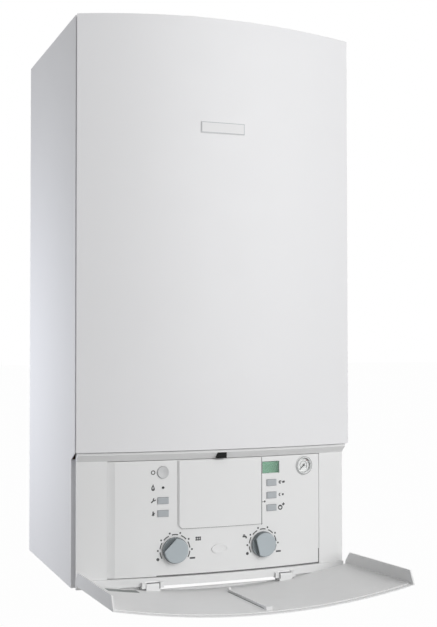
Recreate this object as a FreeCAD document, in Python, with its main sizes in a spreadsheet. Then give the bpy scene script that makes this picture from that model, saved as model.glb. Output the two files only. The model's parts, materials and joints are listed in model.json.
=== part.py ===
import FreeCAD, Part
import os
import re
import Sketcher

# Wall-hung gas boiler, in millimetres.
# Frame: x to the right as seen from the room, y = 0 on the wall and the front facing -y,
# z up from the lower edge of the side panels.

# Driving dimensions, one cell each
SIZES = {
    # casing
    "casing_width": 440,
    "casing_height": 842,
    "crown_rise": 8,
    "side_depth": 350,
    "front_bow": 22,
    "sheet_steel": 1.2,
    "side_groove": 8,
    "fold_width": 12,
    "panel_foot": 200.5,
    "lower_setback": 31,
    "lower_slope": 12,
    "seam_gap": 1,
    "back_steel": 1.5,
    "hanging_spacing": 300,
    "hanging_level": 800,
    "hanging_hole": 11,
    "screw_inset": 7,
    "screw_margin": 30,
    "screw_shank": 4,
    "screw_head": 8,
    "screw_length": 8,
    "screw_clearance": 0.2,
    # front panel
    "front_steel": 1.5,
    "return_inset": 15,
    "return_depth": 20,
    "seal_width": 8,
    "seal_depth": 10,
    "badge_width": 70,
    "badge_height": 17,
    "badge_thickness": 1.2,
    "badge_level": 684,
    # lower fascia
    "fascia_setback": 15,
    "fascia_inset": 3.7,
    "fascia_wall": 3,
    "cornice_foot": 186,
    "cornice_setback": 4,
    "cornice_lip": 3.5,
    "beam_height": 13.5,
    "beam_foot": 1.5,
    "beam_setback": 11,
    "beam_clearance": 1.5,
    "rib_inset": 11,
    "catch_width": 15,
    "catch_height": 8.4,
    "catch_level": 191,
    "catch_proud": 4,
    "catch_depth": 24,
    "catch_clearance": 0.3,
    # control box
    "cheek_width": 49,
    "control_gap": 1,
    "side_gap": 0.8,
    "control_bevel": 10.5,
    "bevel_depth": 2.5,
    "control_wall": 3,
    "housing_depth": 78,
    "housing_wall": 2.5,
    "housing_inset": 10,
    "board_depth": 12,
    "board_thickness": 1.6,
    "board_margin": 8,
    "switch_size": 6,
    "switch_height": 4,
    "cover_width": 134.5,
    "cover_foot": 83.5,
    "cover_proud": 3,
    "cover_corner": 7,
    "cover_fit": 0.1,
    # knobs
    "knob_diameter": 38.6,
    "knob_height": 9.5,
    "knob_skirt": 4,
    "knob_grip": 26,
    "knob_rounding": 1.2,
    "knob_gap": 0.6,
    "knob_place": 70.8,
    "knob_level": 52,
    "heating_turn": 45,
    "hot_water_turn": -13.4,
    "spindle_diameter": 6,
    "spindle_reach": 8,
    "spindle_hole": 8,
    "spindle_fit": 0.04,
    "dial_body": 16,
    "dial_depth": 8,
    "dial_standoff": 0.8,
    # buttons
    "button_width": 16.6,
    "button_height": 9.6,
    "button_proud": 1.5,
    "button_travel": 1.2,
    "button_fit": 0.3,
    "button_flange": 1.2,
    "button_rounding": 0.6,
    "button_stem": 4,
    "seat_gap": 0.3,
    "left_place": -88.9,
    "right_place": 85.9,
    "service_level": 126,
    "reset_level": 107,
    "mode_level": 144.9,
    "up_level": 125.7,
    "down_level": 106.5,
    "main_diameter": 18,
    "main_level": 167.8,
    "lamp_diameter": 4,
    "lamp_level": 145,
    "lamp_length": 7,
    "lamp_fit": 0.1,
    "oval_width": 27,
    "oval_height": 14.5,
    "oval_level": 50,
    "lens_proud": 1.2,
    "lens_rim": 3,
    "lens_dish": 0.6,
    # display and gauge
    "display_width": 29,
    "display_height": 18,
    "display_place": 84.7,
    "display_level": 168.6,
    "window_thickness": 2.4,
    "module_margin": 3,
    "module_depth": 6,
    "gauge_diameter": 29.4,
    "gauge_inset": 27.1,
    "gauge_level": 168.5,
    "gauge_rim": 1.6,
    "gauge_proud": 2,
    "gauge_length": 20,
    "gauge_glass": 1,
    "dial_thickness": 1,
    "needle_width": 1.2,
    "needle_thickness": 0.6,
    "needle_turn": 135,
    "needle_pivot": 1.2,
    # flap
    "flap_width": 439,
    "flap_wall": 2.4,
    "flap_side": 19.5,
    "flap_tail": 12.3,
    "flap_tilt": 2.4,
    "flap_slot": 8.6,
    "flap_shoulder": 2.4,
    "hinge_depth": 357,
    "hinge_level": 3,
    "lug_place": 106.5,
    "lug_width": 21.4,
    "lug_clearance": 0.6,
    "knuckle_radius": 4.8,
    "pin_radius": 2.2,
    "pin_fit": 0.05,
    "boss_width": 5.5,
    "rebate_width": 9,
    "rebate_depth": 1,
    "rib_place": 4,
    "rib_width": 5,
    "rib_height": 3.5,
    "rib_start": 30,
    "rib_block": 9,
    "rib_block_height": 4.5,
    "post_radius": 2.5,
    "post_height": 6,
    "slope_clearance": 4,
    "heel_relief": 16,
    "boss_wall": 1.4,
    # combustion side
    "riser_gap": 30,
    "chamber_depth": 216,
    "chamber_back": 84,
    "chamber_foot": 330,
    "chamber_top": 640,
    "board_insulation": 12,
    "insulation_foot": 410,
    "insulation_gap": 5,
    "burner_margin": 20,
    "burner_rail": 10,
    "burner_blades": 14,
    "blade_margin": 11,
    "blade_thickness": 4,
    "blade_height": 60,
    "manifold_radius": 9,
    "manifold_drop": 8,
    "injector_radius": 3,
    "exchanger_foot": 565,
    "exchanger_height": 65,
    "exchanger_tube": 18,
    "fin_count": 36,
    "fin_gap": 3,
    "fin_thickness": 1,
    "fin_margin": 14,
    "core_thickness": 4,
    "tube_stub": 10,
    "tube_clearance": 0.5,
    "hood_height": 60,
    "hood_neck": 130,
    "hood_steel": 2,
    "fan_radius": 55,
    "fan_width": 60,
    "fan_wall": 3,
    "fan_foot": 4,
    "fan_offset": 24,
    "fan_blades": 16,
    "impeller_radius": 44,
    "impeller_width": 40,
    "shaft_radius": 4,
    "shaft_fit": 0.05,
    "fan_motor_radius": 35,
    "fan_motor_length": 38,
    "flue_depth": 195,
    "flue_bore": 60.6,
    "flue_wall": 1.5,
    "flue_rise": 48,
    "collar_diameter": 100,
    "collar_flange": 12,
    "electrode_spread": 40,
    "electrode_radius": 4,
    "electrode_length": 62,
    "electrode_level": 402,
    "vessel_inset": 5,
    "vessel_foot": 380,
    "vessel_height": 360,
    "vessel_thickness": 80,
    "vessel_rounding": 24,
    "vessel_steel": 1.5,
    "vessel_port": 5,
    # water and gas side
    "tray_level": 14.5,
    "tail_depth": 50,
    "tail_drop": 30,
    "thread_length": 40,
    "thread_relief": 1,
    "tail_inset": 35,
    "tail_clearance": 0.4,
    "collar_height": 6,
    "collar_margin": 4.5,
    "tail_wall": 2.5,
    "large_thread": 26.4,
    "small_thread": 20.9,
    "pipe_diameter": 18,
    "small_pipe": 15,
    "pipe_wall": 1,
    "pipe_bend": 24,
    "small_bend": 16,
    "block_foot": 60,
    "block_height": 70,
    "block_margin": 23.8,
    "block_clearance": 10,
    "block_wall": 6,
    "block_front": 150,
    "block_back": 35,
    "riser_inset": 15,
    "riser_setback": 51,
    "boss_height": 10,
    "actuator_radius": 18,
    "actuator_height": 50,
    "pump_level": 168,
    "volute_radius": 42,
    "volute_depth": 50,
    "volute_wall": 5,
    "rotor_radius": 33,
    "rotor_width": 24,
    "rotor_vanes": 7,
    "pump_motor_radius": 40,
    "pump_motor_length": 72,
    "port_length": 10,
    "plates_depth": 75,
    "plates_height": 80,
    "plate_count": 14,
    "plate_lip": 3,
    "port_radius": 10,
    "valve_width": 70,
    "valve_depth": 70,
    "valve_height": 75,
    "coil_radius": 14,
    "coil_length": 24,
    "relief_radius": 10,
    "relief_length": 24,
    "relief_cap": 14,
    "gland_place": 60,
    "gland_margin": 35,
    "gland_radius": 8,
    "gland_flange": 11,
    "gland_length": 8,
}

doc = FreeCAD.newDocument("wall_boiler")
sheet = doc.addObject("Spreadsheet::Sheet", "sizes")
for row, (alias, value) in enumerate(SIZES.items(), start=1):
    sheet.set(f"A{row}", alias)
    sheet.set(f"B{row}", str(value))
    sheet.setAlias(f"B{row}", alias)
doc.recompute()

SUB_PARTS = []


def size(alias):
    """The number that a cell of the sheet holds."""
    return float(getattr(sheet, alias))


def cells(words):
    """Write the size names in an expression as cells of the sheet."""
    return re.sub(r"[a-z]+(?:_[a-z]+)*", lambda m: f"sizes.{m[0]}" if m[0] in SIZES else m[0], str(words))


def bind(piece, **properties):
    """Tie properties of a piece to the sheet; a double underscore stands for a dot."""
    for name, words in properties.items():
        piece.setExpression(name.replace("__", "."), cells(words))
    return piece


def place(piece, x=0, y=0, z=0):
    """Set a piece's position from the sheet."""
    return bind(piece, Placement__Base__x=x, Placement__Base__y=y, Placement__Base__z=z)


def keep(piece, label):
    """Name a finished sub-part; the label is its file's name."""
    piece.Label = label
    SUB_PARTS.append(piece)
    return piece


# Simple solids tied to the sheet

AXIS_TURNS = {
    "x": FreeCAD.Rotation(FreeCAD.Vector(0, 1, 0), 90),
    "y": FreeCAD.Rotation(FreeCAD.Vector(1, 0, 0), -90),
    "z": FreeCAD.Rotation(),
}


def box(x, y, z):
    """A block between two limits on each axis."""
    piece = doc.addObject("Part::Box", "block")
    bind(piece, Length=f"({x[1]}) - ({x[0]})", Width=f"({y[1]}) - ({y[0]})", Height=f"({z[1]}) - ({z[0]})")
    return place(piece, x[0], y[0], z[0])


def rod(axis, radius, start, length):
    """A round bar from a start point along a row axis."""
    piece = doc.addObject("Part::Cylinder", "rod")
    piece.Placement = FreeCAD.Placement(FreeCAD.Vector(), AXIS_TURNS[axis])
    bind(piece, Radius=radius, Height=length)
    return place(piece, *start)


def cut(base, *tools):
    """The base with each tool taken out of it."""
    for tool in tools:
        result = doc.addObject("Part::Cut", "cut")
        result.Base = base
        result.Tool = tool
        base = result
    return base


def fuse(*pieces):
    """One solid from pieces that run into each other."""
    result = doc.addObject("Part::MultiFuse", "joined")
    result.Shapes = list(pieces)
    result.Refine = True
    return result


def common(first, second):
    """What two solids share."""
    result = doc.addObject("Part::Common", "shared")
    result.Base = first
    result.Tool = second
    return result


def group(*pieces):
    """Separate solids of one kind, held in one sub-part."""
    result = doc.addObject("Part::Compound", "group")
    result.Links = list(pieces)
    return result


def rounded(piece, radius, wanted):
    """Round the edges of a piece that a test picks."""
    doc.recompute()
    result = doc.addObject("Part::Fillet", "rounded")
    result.Base = piece
    picked = [n for n, edge in enumerate(piece.Shape.Edges, start=1) if wanted(edge)]
    result.Edges = [(n, radius, radius) for n in picked]
    return result


def bevelled(piece, length, wanted):
    """Bevel the edges of a piece that a test picks."""
    doc.recompute()
    result = doc.addObject("Part::Chamfer", "bevelled")
    result.Base = piece
    picked = [n for n, edge in enumerate(piece.Shape.Edges, start=1) if wanted(edge)]
    result.Edges = [(n, length, length) for n in picked]
    return result


# Bodies made from sketches

def outline(body, plane, corners):
    """A closed straight-sided sketch whose corners follow the sheet."""
    sketch = body.newObject("Sketcher::SketchObject", "outline")
    support = [item for item in body.Origin.OriginFeatures if item.Role == plane][0]
    sketch.AttachmentSupport = [(support, "")]
    sketch.MapMode = "FlatFace"
    count = len(corners)
    seeds = [FreeCAD.Vector(number, number * number, 0) for number in range(count)]
    for number in range(count):
        sketch.addGeometry(Part.LineSegment(seeds[number], seeds[(number + 1) % count]), False)
    for number in range(count):
        sketch.addConstraint(Sketcher.Constraint("Coincident", number, 2, (number + 1) % count, 1))
    for number, corner in enumerate(corners):
        seed = seeds[number]
        for kind, words, start in (("DistanceX", corner[0], seed.x), ("DistanceY", corner[1], seed.y)):
            index = sketch.addConstraint(Sketcher.Constraint(kind, -1, 1, number, 1, start))
            sketch.setExpression(f"Constraints[{index}]", cells(words))
    return sketch


def padded(plane, corners, length):
    """A body padded from an outline on one of its own planes."""
    body = doc.addObject("PartDesign::Body", "padded")
    pad = body.newObject("PartDesign::Pad", "pad")
    pad.Profile = outline(body, plane, corners)
    bind(pad, Length=length)
    return body


def turned(plane, corners):
    """A body turned about its sketch's upright axis; corners are (radius, position along the axis)."""
    body = doc.addObject("PartDesign::Body", "turned")
    sketch = outline(body, plane, corners)
    turn = body.newObject("PartDesign::Revolution", "turn")
    turn.Profile = sketch
    turn.ReferenceAxis = (sketch, ["V_Axis"])
    turn.Angle = 360
    return body


def repeat_along(body, feature, role, spacing, count):
    """Repeat a feature of a body along one of its axes."""
    pattern = body.newObject("PartDesign::LinearPattern", "row")
    pattern.Originals = [feature]
    direction = [item for item in body.Origin.OriginFeatures if item.Role == role][0]
    pattern.Direction = (direction, [""])
    bind(pattern, Length=f"({spacing}) * ({count} - 1)", Occurrences=count)
    body.Tip = pattern
    return body


def repeat_around(body, feature, role, count):
    """Repeat a feature of a body around one of its axes."""
    pattern = body.newObject("PartDesign::PolarPattern", "ring")
    pattern.Originals = [feature]
    axis = [item for item in body.Origin.OriginFeatures if item.Role == role][0]
    pattern.Axis = (axis, [""])
    pattern.Angle = 360
    bind(pattern, Occurrences=count)
    body.Tip = pattern
    return body


# Bowed front shared by the front panel, fascia and flap

HALF = "casing_width / 2"
INSIDE = "(casing_width / 2 - sheet_steel)"
BOW = "(((casing_width / 2)^2 + front_bow^2) / (2 * front_bow))"
BOW_CENTRE = f"({BOW} - side_depth - front_bow)"
FACE = f"({BOW} - fascia_setback)"
CONTROL_HALF = "(casing_width / 2 - cheek_width)"
GAUGE_PLACE = f"({CONTROL_HALF} - gauge_inset)"
BLOCK_OUTER = f"({INSIDE} - block_margin)"
TAIL_PITCH = f"(({BLOCK_OUTER} - tail_inset) / 2)"
BLOCK_INNER = f"({TAIL_PITCH} + small_thread / 2 + collar_margin + block_clearance)"
PUMP_PLACE = f"(({BLOCK_INNER} + {BLOCK_OUTER}) / 2)"
RISER_PLACE = f"({BLOCK_OUTER} - riser_inset)"
RISER_DEPTH = "(chamber_back + riser_setback)"


def bowed(x, back, z, setback):
    """A block with a bowed front, a given distance behind the front panel's face."""
    reach = f"{BOW} - ({setback})"
    drum = rod("z", reach, ("0", BOW_CENTRE, z[0]), f"({z[1]}) - ({z[0]})")
    return common(box(x, ("-side_depth - 2 * front_bow", back), z), drum)


def face_depth(x):
    """The control face's position on y at a place across its width."""
    return f"({BOW_CENTRE} - sqrt({FACE}^2 - ({x})^2))"


def on_face(piece, x, z):
    """Seat a piece on the bowed control face, its own -y pointing out of the face."""
    piece.Placement = FreeCAD.Placement(FreeCAD.Vector(), FreeCAD.Rotation(FreeCAD.Vector(0, 0, 1), 1))
    bind(piece, Placement__Rotation__Angle=f"asin(({x}) / {FACE})")
    return place(piece, x, face_depth(x), z)


# Casing

SIDE_FRONT = "(side_depth - side_groove)"
LOWER_FRONT = "(side_depth - lower_setback)"
SIDE_TOP = "(casing_height - sheet_steel)"
SCREW_Y = ("-screw_margin", f"-{SIDE_FRONT} + screw_margin")
SCREW_X = "(casing_width / 2 - screw_inset)"


def screw_holes(side, z, length):
    """Clearance holes for the two screws along one side of the top."""
    return [rod("z", "screw_shank / 2 + screw_clearance", (f"{side} * {SCREW_X}", y, z),
                length) for y in SCREW_Y]


def side_panel(side, label):
    """Folded steel side: a flat sheet with inward folds along its front and top."""
    corners = [("0", "0"), (f"-{LOWER_FRONT}", "0"), (f"-{LOWER_FRONT}", "panel_foot - lower_slope"),
               (f"-{SIDE_FRONT}", "panel_foot"), (f"-{SIDE_FRONT}", SIDE_TOP), ("0", SIDE_TOP)]
    flat = padded("YZ_Plane", corners, "sheet_steel")
    place(flat, x=INSIDE if side > 0 else f"-{HALF}")
    fold_x = (f"{INSIDE} - fold_width", INSIDE) if side > 0 else (f"-{INSIDE}", f"-{INSIDE} + fold_width")
    upper = box(fold_x, (f"-{SIDE_FRONT}", f"-{SIDE_FRONT} + sheet_steel"), ("panel_foot", SIDE_TOP))
    lower = box(fold_x, (f"-{LOWER_FRONT}", f"-{LOWER_FRONT} + sheet_steel"),
                ("0", "panel_foot - lower_slope"))
    top = box(fold_x, (f"-{SIDE_FRONT}", "-back_steel"), (f"{SIDE_TOP} - sheet_steel", SIDE_TOP))
    holes = screw_holes(side, f"{SIDE_TOP} - 2 * sheet_steel", "3 * sheet_steel")
    return keep(cut(fuse(flat, upper, lower, top), *holes), label)


def back_plate():
    """Steel back against the wall, with two hanging holes near its top."""
    corners = [(f"-{INSIDE}", "0"), (INSIDE, "0"), (INSIDE, f"{SIDE_TOP} - sheet_steel"),
               (f"-{INSIDE}", f"{SIDE_TOP} - sheet_steel")]
    plate = padded("XZ_Plane", corners, "back_steel")
    holes = [rod("y", "hanging_hole / 2", (f"{side} * hanging_spacing / 2", "-2 * back_steel",
                                           "hanging_level"),
                 "3 * back_steel") for side in (-1, 1)]
    keep(cut(plate, *holes), "back_plate")


def top_panel():
    """Flat lid over the sides, open in a ring for the flue's air intake."""
    lid = box((f"-{HALF}", HALF), (f"-{SIDE_FRONT}", "0"), (SIDE_TOP, "casing_height"))
    intake = rod("z", "collar_diameter / 2 - flue_wall", ("0", "-flue_depth", f"{SIDE_TOP} - 1"),
                 "sheet_steel + 2")
    holes = screw_holes(-1, f"{SIDE_TOP} - 1", "sheet_steel + 2")
    holes += screw_holes(1, f"{SIDE_TOP} - 1", "sheet_steel + 2")
    keep(cut(lid, intake, *holes), "top_panel")


def casing_screws():
    """Four alike screws through the lid into the folds of the sides."""
    screws = []
    for side in (-1, 1):
        for y in SCREW_Y:
            corners = [("0", "-screw_length"), ("screw_shank / 2", "-screw_length"),
                       ("screw_shank / 2", "0"),
                       ("screw_head / 2", "0"), ("screw_head / 2", "screw_head / 8"),
                       ("screw_head / 4", "screw_head / 3"), ("0", "screw_head / 3")]
            screws.append(place(turned("XZ_Plane", corners), f"{side} * {SCREW_X}", y, "casing_height"))
    keep(group(*screws), "casing_screws")


def front_panel():
    """Bowed steel front with a crowned top edge and a return frame set in from its edges."""
    top = "casing_height + crown_rise"
    sheet_block = bowed((f"-{HALF}", HALF), "-side_depth", ("panel_foot", top), "0")
    hollow = bowed((f"-{HALF} - 1", f"{HALF} + 1"), "0", ("panel_foot - 1", f"{top} + 1"), "front_steel")
    arch = "(((casing_width / 2)^2 + crown_rise^2) / (2 * crown_rise))"
    crown = rod("y", arch, ("0", "-side_depth - 2 * front_bow", f"{top} - {arch}"), "side_depth")
    face = common(cut(sheet_block, hollow), crown)
    outer_x = f"({INSIDE} - fold_width - seat_gap)"
    outer_z = ("panel_foot + return_inset", "casing_height - return_inset")
    back = "-side_depth + return_depth"
    frame = bowed((f"-{outer_x}", outer_x), back, outer_z, "front_steel / 2")
    inner_x = f"({outer_x} - sheet_steel)"
    inner_z = (f"{outer_z[0]} + sheet_steel", f"{outer_z[1]} - sheet_steel")
    opening = bowed((f"-{inner_x}", inner_x), f"{back} + 1", inner_z, "-1")
    keep(fuse(face, cut(frame, opening)), "front_panel")
    seal_y = (f"{back} - seal_depth", back)
    seal = box((f"-{inner_x}", inner_x), seal_y, inner_z)
    gap = box((f"-{inner_x} + seal_width", f"{inner_x} - seal_width"),
              (f"{seal_y[0]} - 1", f"{seal_y[1]} + 1"),
              (f"{inner_z[0]} + seal_width", f"{inner_z[1]} - seal_width"))
    keep(cut(seal, gap), "panel_seal")


def badge_plate():
    """Bare plate on the front panel, following its bow."""
    x = ("-badge_width / 2", "badge_width / 2")
    z = ("badge_level - badge_height / 2", "badge_level + badge_height / 2")
    block = bowed(x, "-side_depth", z, "-badge_thickness")
    behind = bowed((f"{x[0]} - 1", f"{x[1]} + 1"), "0", (f"{z[0]} - 1", f"{z[1]} + 1"), "-cover_fit")
    keep(cut(block, behind), "badge_plate")


side_panel(-1, "left_side_panel")
side_panel(1, "right_side_panel")
back_plate()
top_panel()
casing_screws()
front_panel()
badge_plate()

# Lower fascia and its catch

CHEEK = "(casing_width / 2 - fascia_inset)"
CHEEK_FRONT = "(-side_depth + fascia_setback)"
CHEEK_BACK = f"({CHEEK_FRONT} + fascia_wall)"
CORNICE_TOP = "(panel_foot - seam_gap)"
CONTROL_TOP = "(cornice_foot - side_gap)"
CONTROL_FOOT = "(beam_height + control_gap)"
LUG_OUTER = "(lug_place + lug_width / 2 + lug_clearance)"
LUG_INNER = "(lug_place - lug_width / 2 - lug_clearance)"


def cornice_core(skin):
    """The coved strip's outline, or its hollow when a skin is given."""
    lip_foot = f"({CORNICE_TOP} - cornice_lip)"
    slope = doc.addObject("Part::Cone", "slope")
    bind(slope, Radius1=f"{FACE} - {skin}", Radius2=f"{BOW} - cornice_setback - {skin}",
         Height=f"{lip_foot} - cornice_foot")
    place(slope, 0, BOW_CENTRE, "cornice_foot")
    lip = rod("z", f"{BOW} - cornice_setback - {skin}", ("0", BOW_CENTRE, lip_foot),
              f"cornice_lip - {skin} / 2")
    return fuse(slope, lip)


def lug_notch(side, top):
    """The gap that one hinge lug of the flap swings in, up to a level."""
    x = (LUG_INNER, LUG_OUTER) if side > 0 else (f"-{LUG_OUTER}", f"-{LUG_INNER}")
    return box(x, ("-side_depth - front_bow", "0"), ("-1", top))


def lower_fascia():
    """Plastic frame below the front panel: cornice, two bowed cheeks and a beam with hinge bosses."""
    width = (f"-{CHEEK}", CHEEK)
    depth = ("-side_depth - front_bow", CHEEK_BACK)
    band = box(width, depth, ("cornice_foot", CORNICE_TOP))
    hollow_x = (f"-{CHEEK} + fascia_wall", f"{CHEEK} - fascia_wall")
    hollow_band = box(hollow_x, (depth[0], f"{CHEEK_BACK} + 1"),
                      ("cornice_foot + fascia_wall", f"{CORNICE_TOP} - fascia_wall / 2"))
    cornice = cut(common(band, cornice_core("0")), common(hollow_band, cornice_core("fascia_wall")))
    cheeks = []
    ribs = []
    bosses = []
    pin_holes = []
    notches = []
    for side in (-1, 1):
        inner = f"({CONTROL_HALF} + side_gap)"
        cheek_x = (inner, CHEEK) if side > 0 else (f"-{CHEEK}", f"-{inner}")
        cheek_z = ("0", "cornice_foot + 1")
        cheeks.append(cut(bowed(cheek_x, CHEEK_BACK, cheek_z, "fascia_setback"),
                          bowed(cheek_x, "0", cheek_z, "fascia_setback + fascia_wall")))
        rib_x = (f"{INSIDE} - rib_inset", f"{INSIDE} - rib_inset + fascia_wall")
        if side < 0:
            rib_x = (f"-({rib_x[1]})", f"-({rib_x[0]})")
        ribs.append(box(rib_x, (CHEEK_FRONT, f"-{LOWER_FRONT}"),
                        ("fascia_wall", "panel_foot - lower_slope")))
        for edge, grow in ((LUG_INNER, -1), (LUG_OUTER, 1)):
            near = f"({side} * {edge})"
            far = f"({side} * ({edge} + {grow} * boss_width))"
            boss_x = (near, far) if side * grow > 0 else (far, near)
            boss_y = ("-hinge_depth - pin_radius - boss_wall",
                      "-hinge_depth + pin_radius + boss_wall + fascia_wall")
            bosses.append(box(boss_x, boss_y,
                              ("hinge_level - pin_radius - boss_wall", "hinge_level + knuckle_radius")))
            hole_start = (boss_x[0], "-hinge_depth", "hinge_level")
            pin_holes.append(rod("x", "pin_radius + pin_fit", hole_start, "boss_width"))
        notches.append(lug_notch(side, "hinge_level + knuckle_radius + lug_clearance"))
    inner_beam = bowed((f"-{CHEEK} - 1", f"{CHEEK} + 1"), "0", ("0", "beam_height + 1"),
                       "beam_setback + fascia_wall")
    shelf = bowed(width, CHEEK_BACK, ("beam_height - fascia_wall", "beam_height"), "beam_setback")
    beam = cut(bowed(width, CHEEK_BACK, ("beam_foot", "beam_height"), "beam_setback"), inner_beam)
    shell = fuse(cornice, beam, shelf, *cheeks, *ribs, *bosses)
    slot_z = ("catch_level - catch_height / 2 - catch_clearance",
              "catch_level + catch_height / 2 + catch_clearance")
    slot = box(("-catch_width / 2 - catch_clearance", "catch_width / 2 + catch_clearance"), depth, slot_z)
    keep(cut(shell, *notches, *pin_holes, slot), "lower_fascia")


def panel_catch():
    """Black push tab in the middle of the cornice that frees the front panel."""
    front = "(-side_depth - front_bow + (cornice_setback + fascia_setback) / 2 - catch_proud)"
    tab = box(("-catch_width / 2", "catch_width / 2"), (front, f"{front} + catch_depth"),
              ("catch_level - catch_height / 2", "catch_level + catch_height / 2"))
    keep(rounded(tab, size("button_rounding"),
                 lambda edge: edge.BoundBox.YLength < 1e-6 and edge.CenterOfMass.y
                 < -size("side_depth")), "panel_catch")


lower_fascia()
panel_catch()

# Control box: bowed fascia plate, its controls and the housing behind

HOUSING = f"({CONTROL_HALF} - housing_inset)"
BOARD_FRONT = f"({CHEEK_BACK} + board_depth)"
SWITCH_FACE = f"({BOARD_FRONT} - switch_height)"
CONTROL_MIDDLE = "0"
BUTTONS = {
    "service_button": ("left_place", "service_level"),
    "reset_button": ("left_place", "reset_level"),
    "mode_button": ("right_place", "mode_level"),
    "up_button": ("right_place", "up_level"),
    "down_button": ("right_place", "down_level"),
}
KNOBS = {"heating": ("-knob_place", "heating_turn"), "hot_water": ("knob_place", "hot_water_turn")}


def face_block(x, z, width, height, y):
    """A block in the frame of the control face, centred on a place."""
    block = box((f"-({width}) / 2", f"({width}) / 2"), y, (f"-({height}) / 2", f"({height}) / 2"))
    return on_face(group(block), x, z)


def face_hole(x, z, radius):
    """A round hole through the control face."""
    hole = rod("y", radius, ("0", "-control_wall", "0"), "4 * control_wall")
    return on_face(group(hole), x, z)


def oval(width, height, y):
    """An oval bar along y."""
    ring = doc.addObject("Part::Ellipse", "oval")
    ring.Placement = FreeCAD.Placement(FreeCAD.Vector(), AXIS_TURNS["y"])
    bind(ring, MajorRadius=f"({width}) / 2", MinorRadius=f"({height}) / 2")
    place(ring, y=y[0])
    bar = doc.addObject("Part::Extrusion", "oval_bar")
    bar.Base = ring
    bar.DirMode = "Custom"
    bar.Dir = FreeCAD.Vector(0, 1, 0)
    bar.Solid = True
    return bind(bar, LengthFwd=f"({y[1]}) - ({y[0]})")


def edge_wedge():
    """The wedge taken off the control plate's left upright edge, leaving a shallow bevel."""
    edge = f"-{CONTROL_HALF}"
    inner = f"({edge} + control_bevel)"
    inner_y = face_depth(inner)
    rise = f"({face_depth(edge)} + bevel_depth - {inner_y})"
    corners = [(f"{edge} - control_bevel", f"{inner_y} + 2 * {rise}"),
               (f"{inner} + control_bevel", f"{inner_y} - {rise}"),
               (f"{edge} - control_bevel", f"{inner_y} - {rise}")]
    return padded("XY_Plane", corners, "cornice_foot")


def control_fascia():
    """Bowed plate with one bevelled upright edge, open at the back, pierced for the controls."""
    x = (f"-{CONTROL_HALF}", CONTROL_HALF)
    block = bowed(x, CHEEK_BACK, (CONTROL_FOOT, CONTROL_TOP), "fascia_setback")
    plate = cut(block, edge_wedge())
    inner = f"({CONTROL_HALF} - control_bevel - control_wall)"
    hollow = bowed((f"-{inner}", inner), f"{CHEEK_BACK} + 1",
                   (f"{CONTROL_FOOT} + control_wall", f"{CONTROL_TOP} - control_wall"),
                   "fascia_setback + control_wall")
    holes = [face_hole(where, "knob_level", "spindle_hole / 2") for where, turn in KNOBS.values()]
    through = ("-control_wall", "3 * control_wall")
    for where, level in BUTTONS.values():
        holes.append(face_block(where, level, "button_width + 2 * button_fit",
                                "button_height + 2 * button_fit",
                                through))
    holes.append(face_hole("left_place", "main_level", "main_diameter / 2 + button_fit"))
    holes.append(face_hole("left_place", "lamp_level", "lamp_diameter / 2 + lamp_fit"))
    holes.append(face_block("display_place", "display_level", "display_width + 2 * lamp_fit",
                            "display_height + 2 * lamp_fit", through))
    holes.append(face_hole(GAUGE_PLACE, "gauge_level", "gauge_diameter / 2 - gauge_rim"))
    lens_hole = oval("oval_width + 2 * lamp_fit", "oval_height + 2 * lamp_fit", through)
    holes.append(on_face(group(lens_hole), CONTROL_MIDDLE, "oval_level"))
    keep(cut(cut(plate, hollow), *holes), "control_fascia")


def blank_cover():
    """Bowed blank cover in the middle of the control face, its left edge bevelled and the corner cut off."""
    x = ("-cover_width / 2", "cover_width / 2")
    z = ("cover_foot", f"{CONTROL_TOP} - control_gap")
    block = bowed(x, CHEEK_FRONT, z, "fascia_setback - cover_proud")
    behind = bowed((f"{x[0]} - 1", f"{x[1]} + 1"), "0", (f"{z[0]} - 1", f"{z[1]} + 1"),
                   "fascia_setback - cover_fit")
    plate = cut(block, behind)
    half = size("cover_width") / 2
    doc.recompute()
    depth = plate.Shape.BoundBox.YMin + size("cover_proud") / 2

    def corner_upright(edge):
        centre = edge.CenterOfMass
        return edge.BoundBox.XLength < 1e-6 and edge.BoundBox.YLength > 1 and centre.x < -half + 0.01 \
            and centre.z < size("cover_foot") + 1

    def left_side(edge):
        centre = edge.CenterOfMass
        return edge.BoundBox.XLength < 1e-6 and edge.BoundBox.ZLength > 10 and centre.y < depth + 2 \
            and centre.x < 0

    cornered = bevelled(plate, size("cover_corner"), corner_upright)
    doc.recompute()
    foremost = min(edge.CenterOfMass.y for edge in cornered.Shape.Edges if left_side(edge))

    def front_left(edge):
        return left_side(edge) and abs(edge.CenterOfMass.y - foremost) < 0.01

    keep(bevelled(cornered, size("cover_proud") * 0.85, front_left), "blank_cover")


def control_housing():
    """Plastic box behind the control fascia, with four posts for the board."""
    back = f"({CHEEK_BACK} + housing_depth)"
    foot = "(tray_level + back_steel)"
    outer = box((f"-{HOUSING}", HOUSING), (CHEEK_BACK, back), (foot, CONTROL_TOP))
    inner_z = (f"{foot} + housing_wall", f"{CONTROL_TOP} - housing_wall")
    inner = box((f"-{HOUSING} + housing_wall", f"{HOUSING} - housing_wall"),
                (f"{CHEEK_BACK} - 1", f"{back} - housing_wall"), inner_z)
    posts = []
    for side in (-1, 1):
        for z in (f"{inner_z[0]} + 2 * board_margin", f"{inner_z[1]} - 2 * board_margin"):
            start = (f"{side} * ({HOUSING} - 3 * board_margin)", f"{BOARD_FRONT} + board_thickness", z)
            posts.append(rod("y", "switch_height", start, f"{back} - housing_wall / 2 - ({start[1]})"))
    keep(fuse(cut(outer, inner), *posts), "control_housing")


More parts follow.
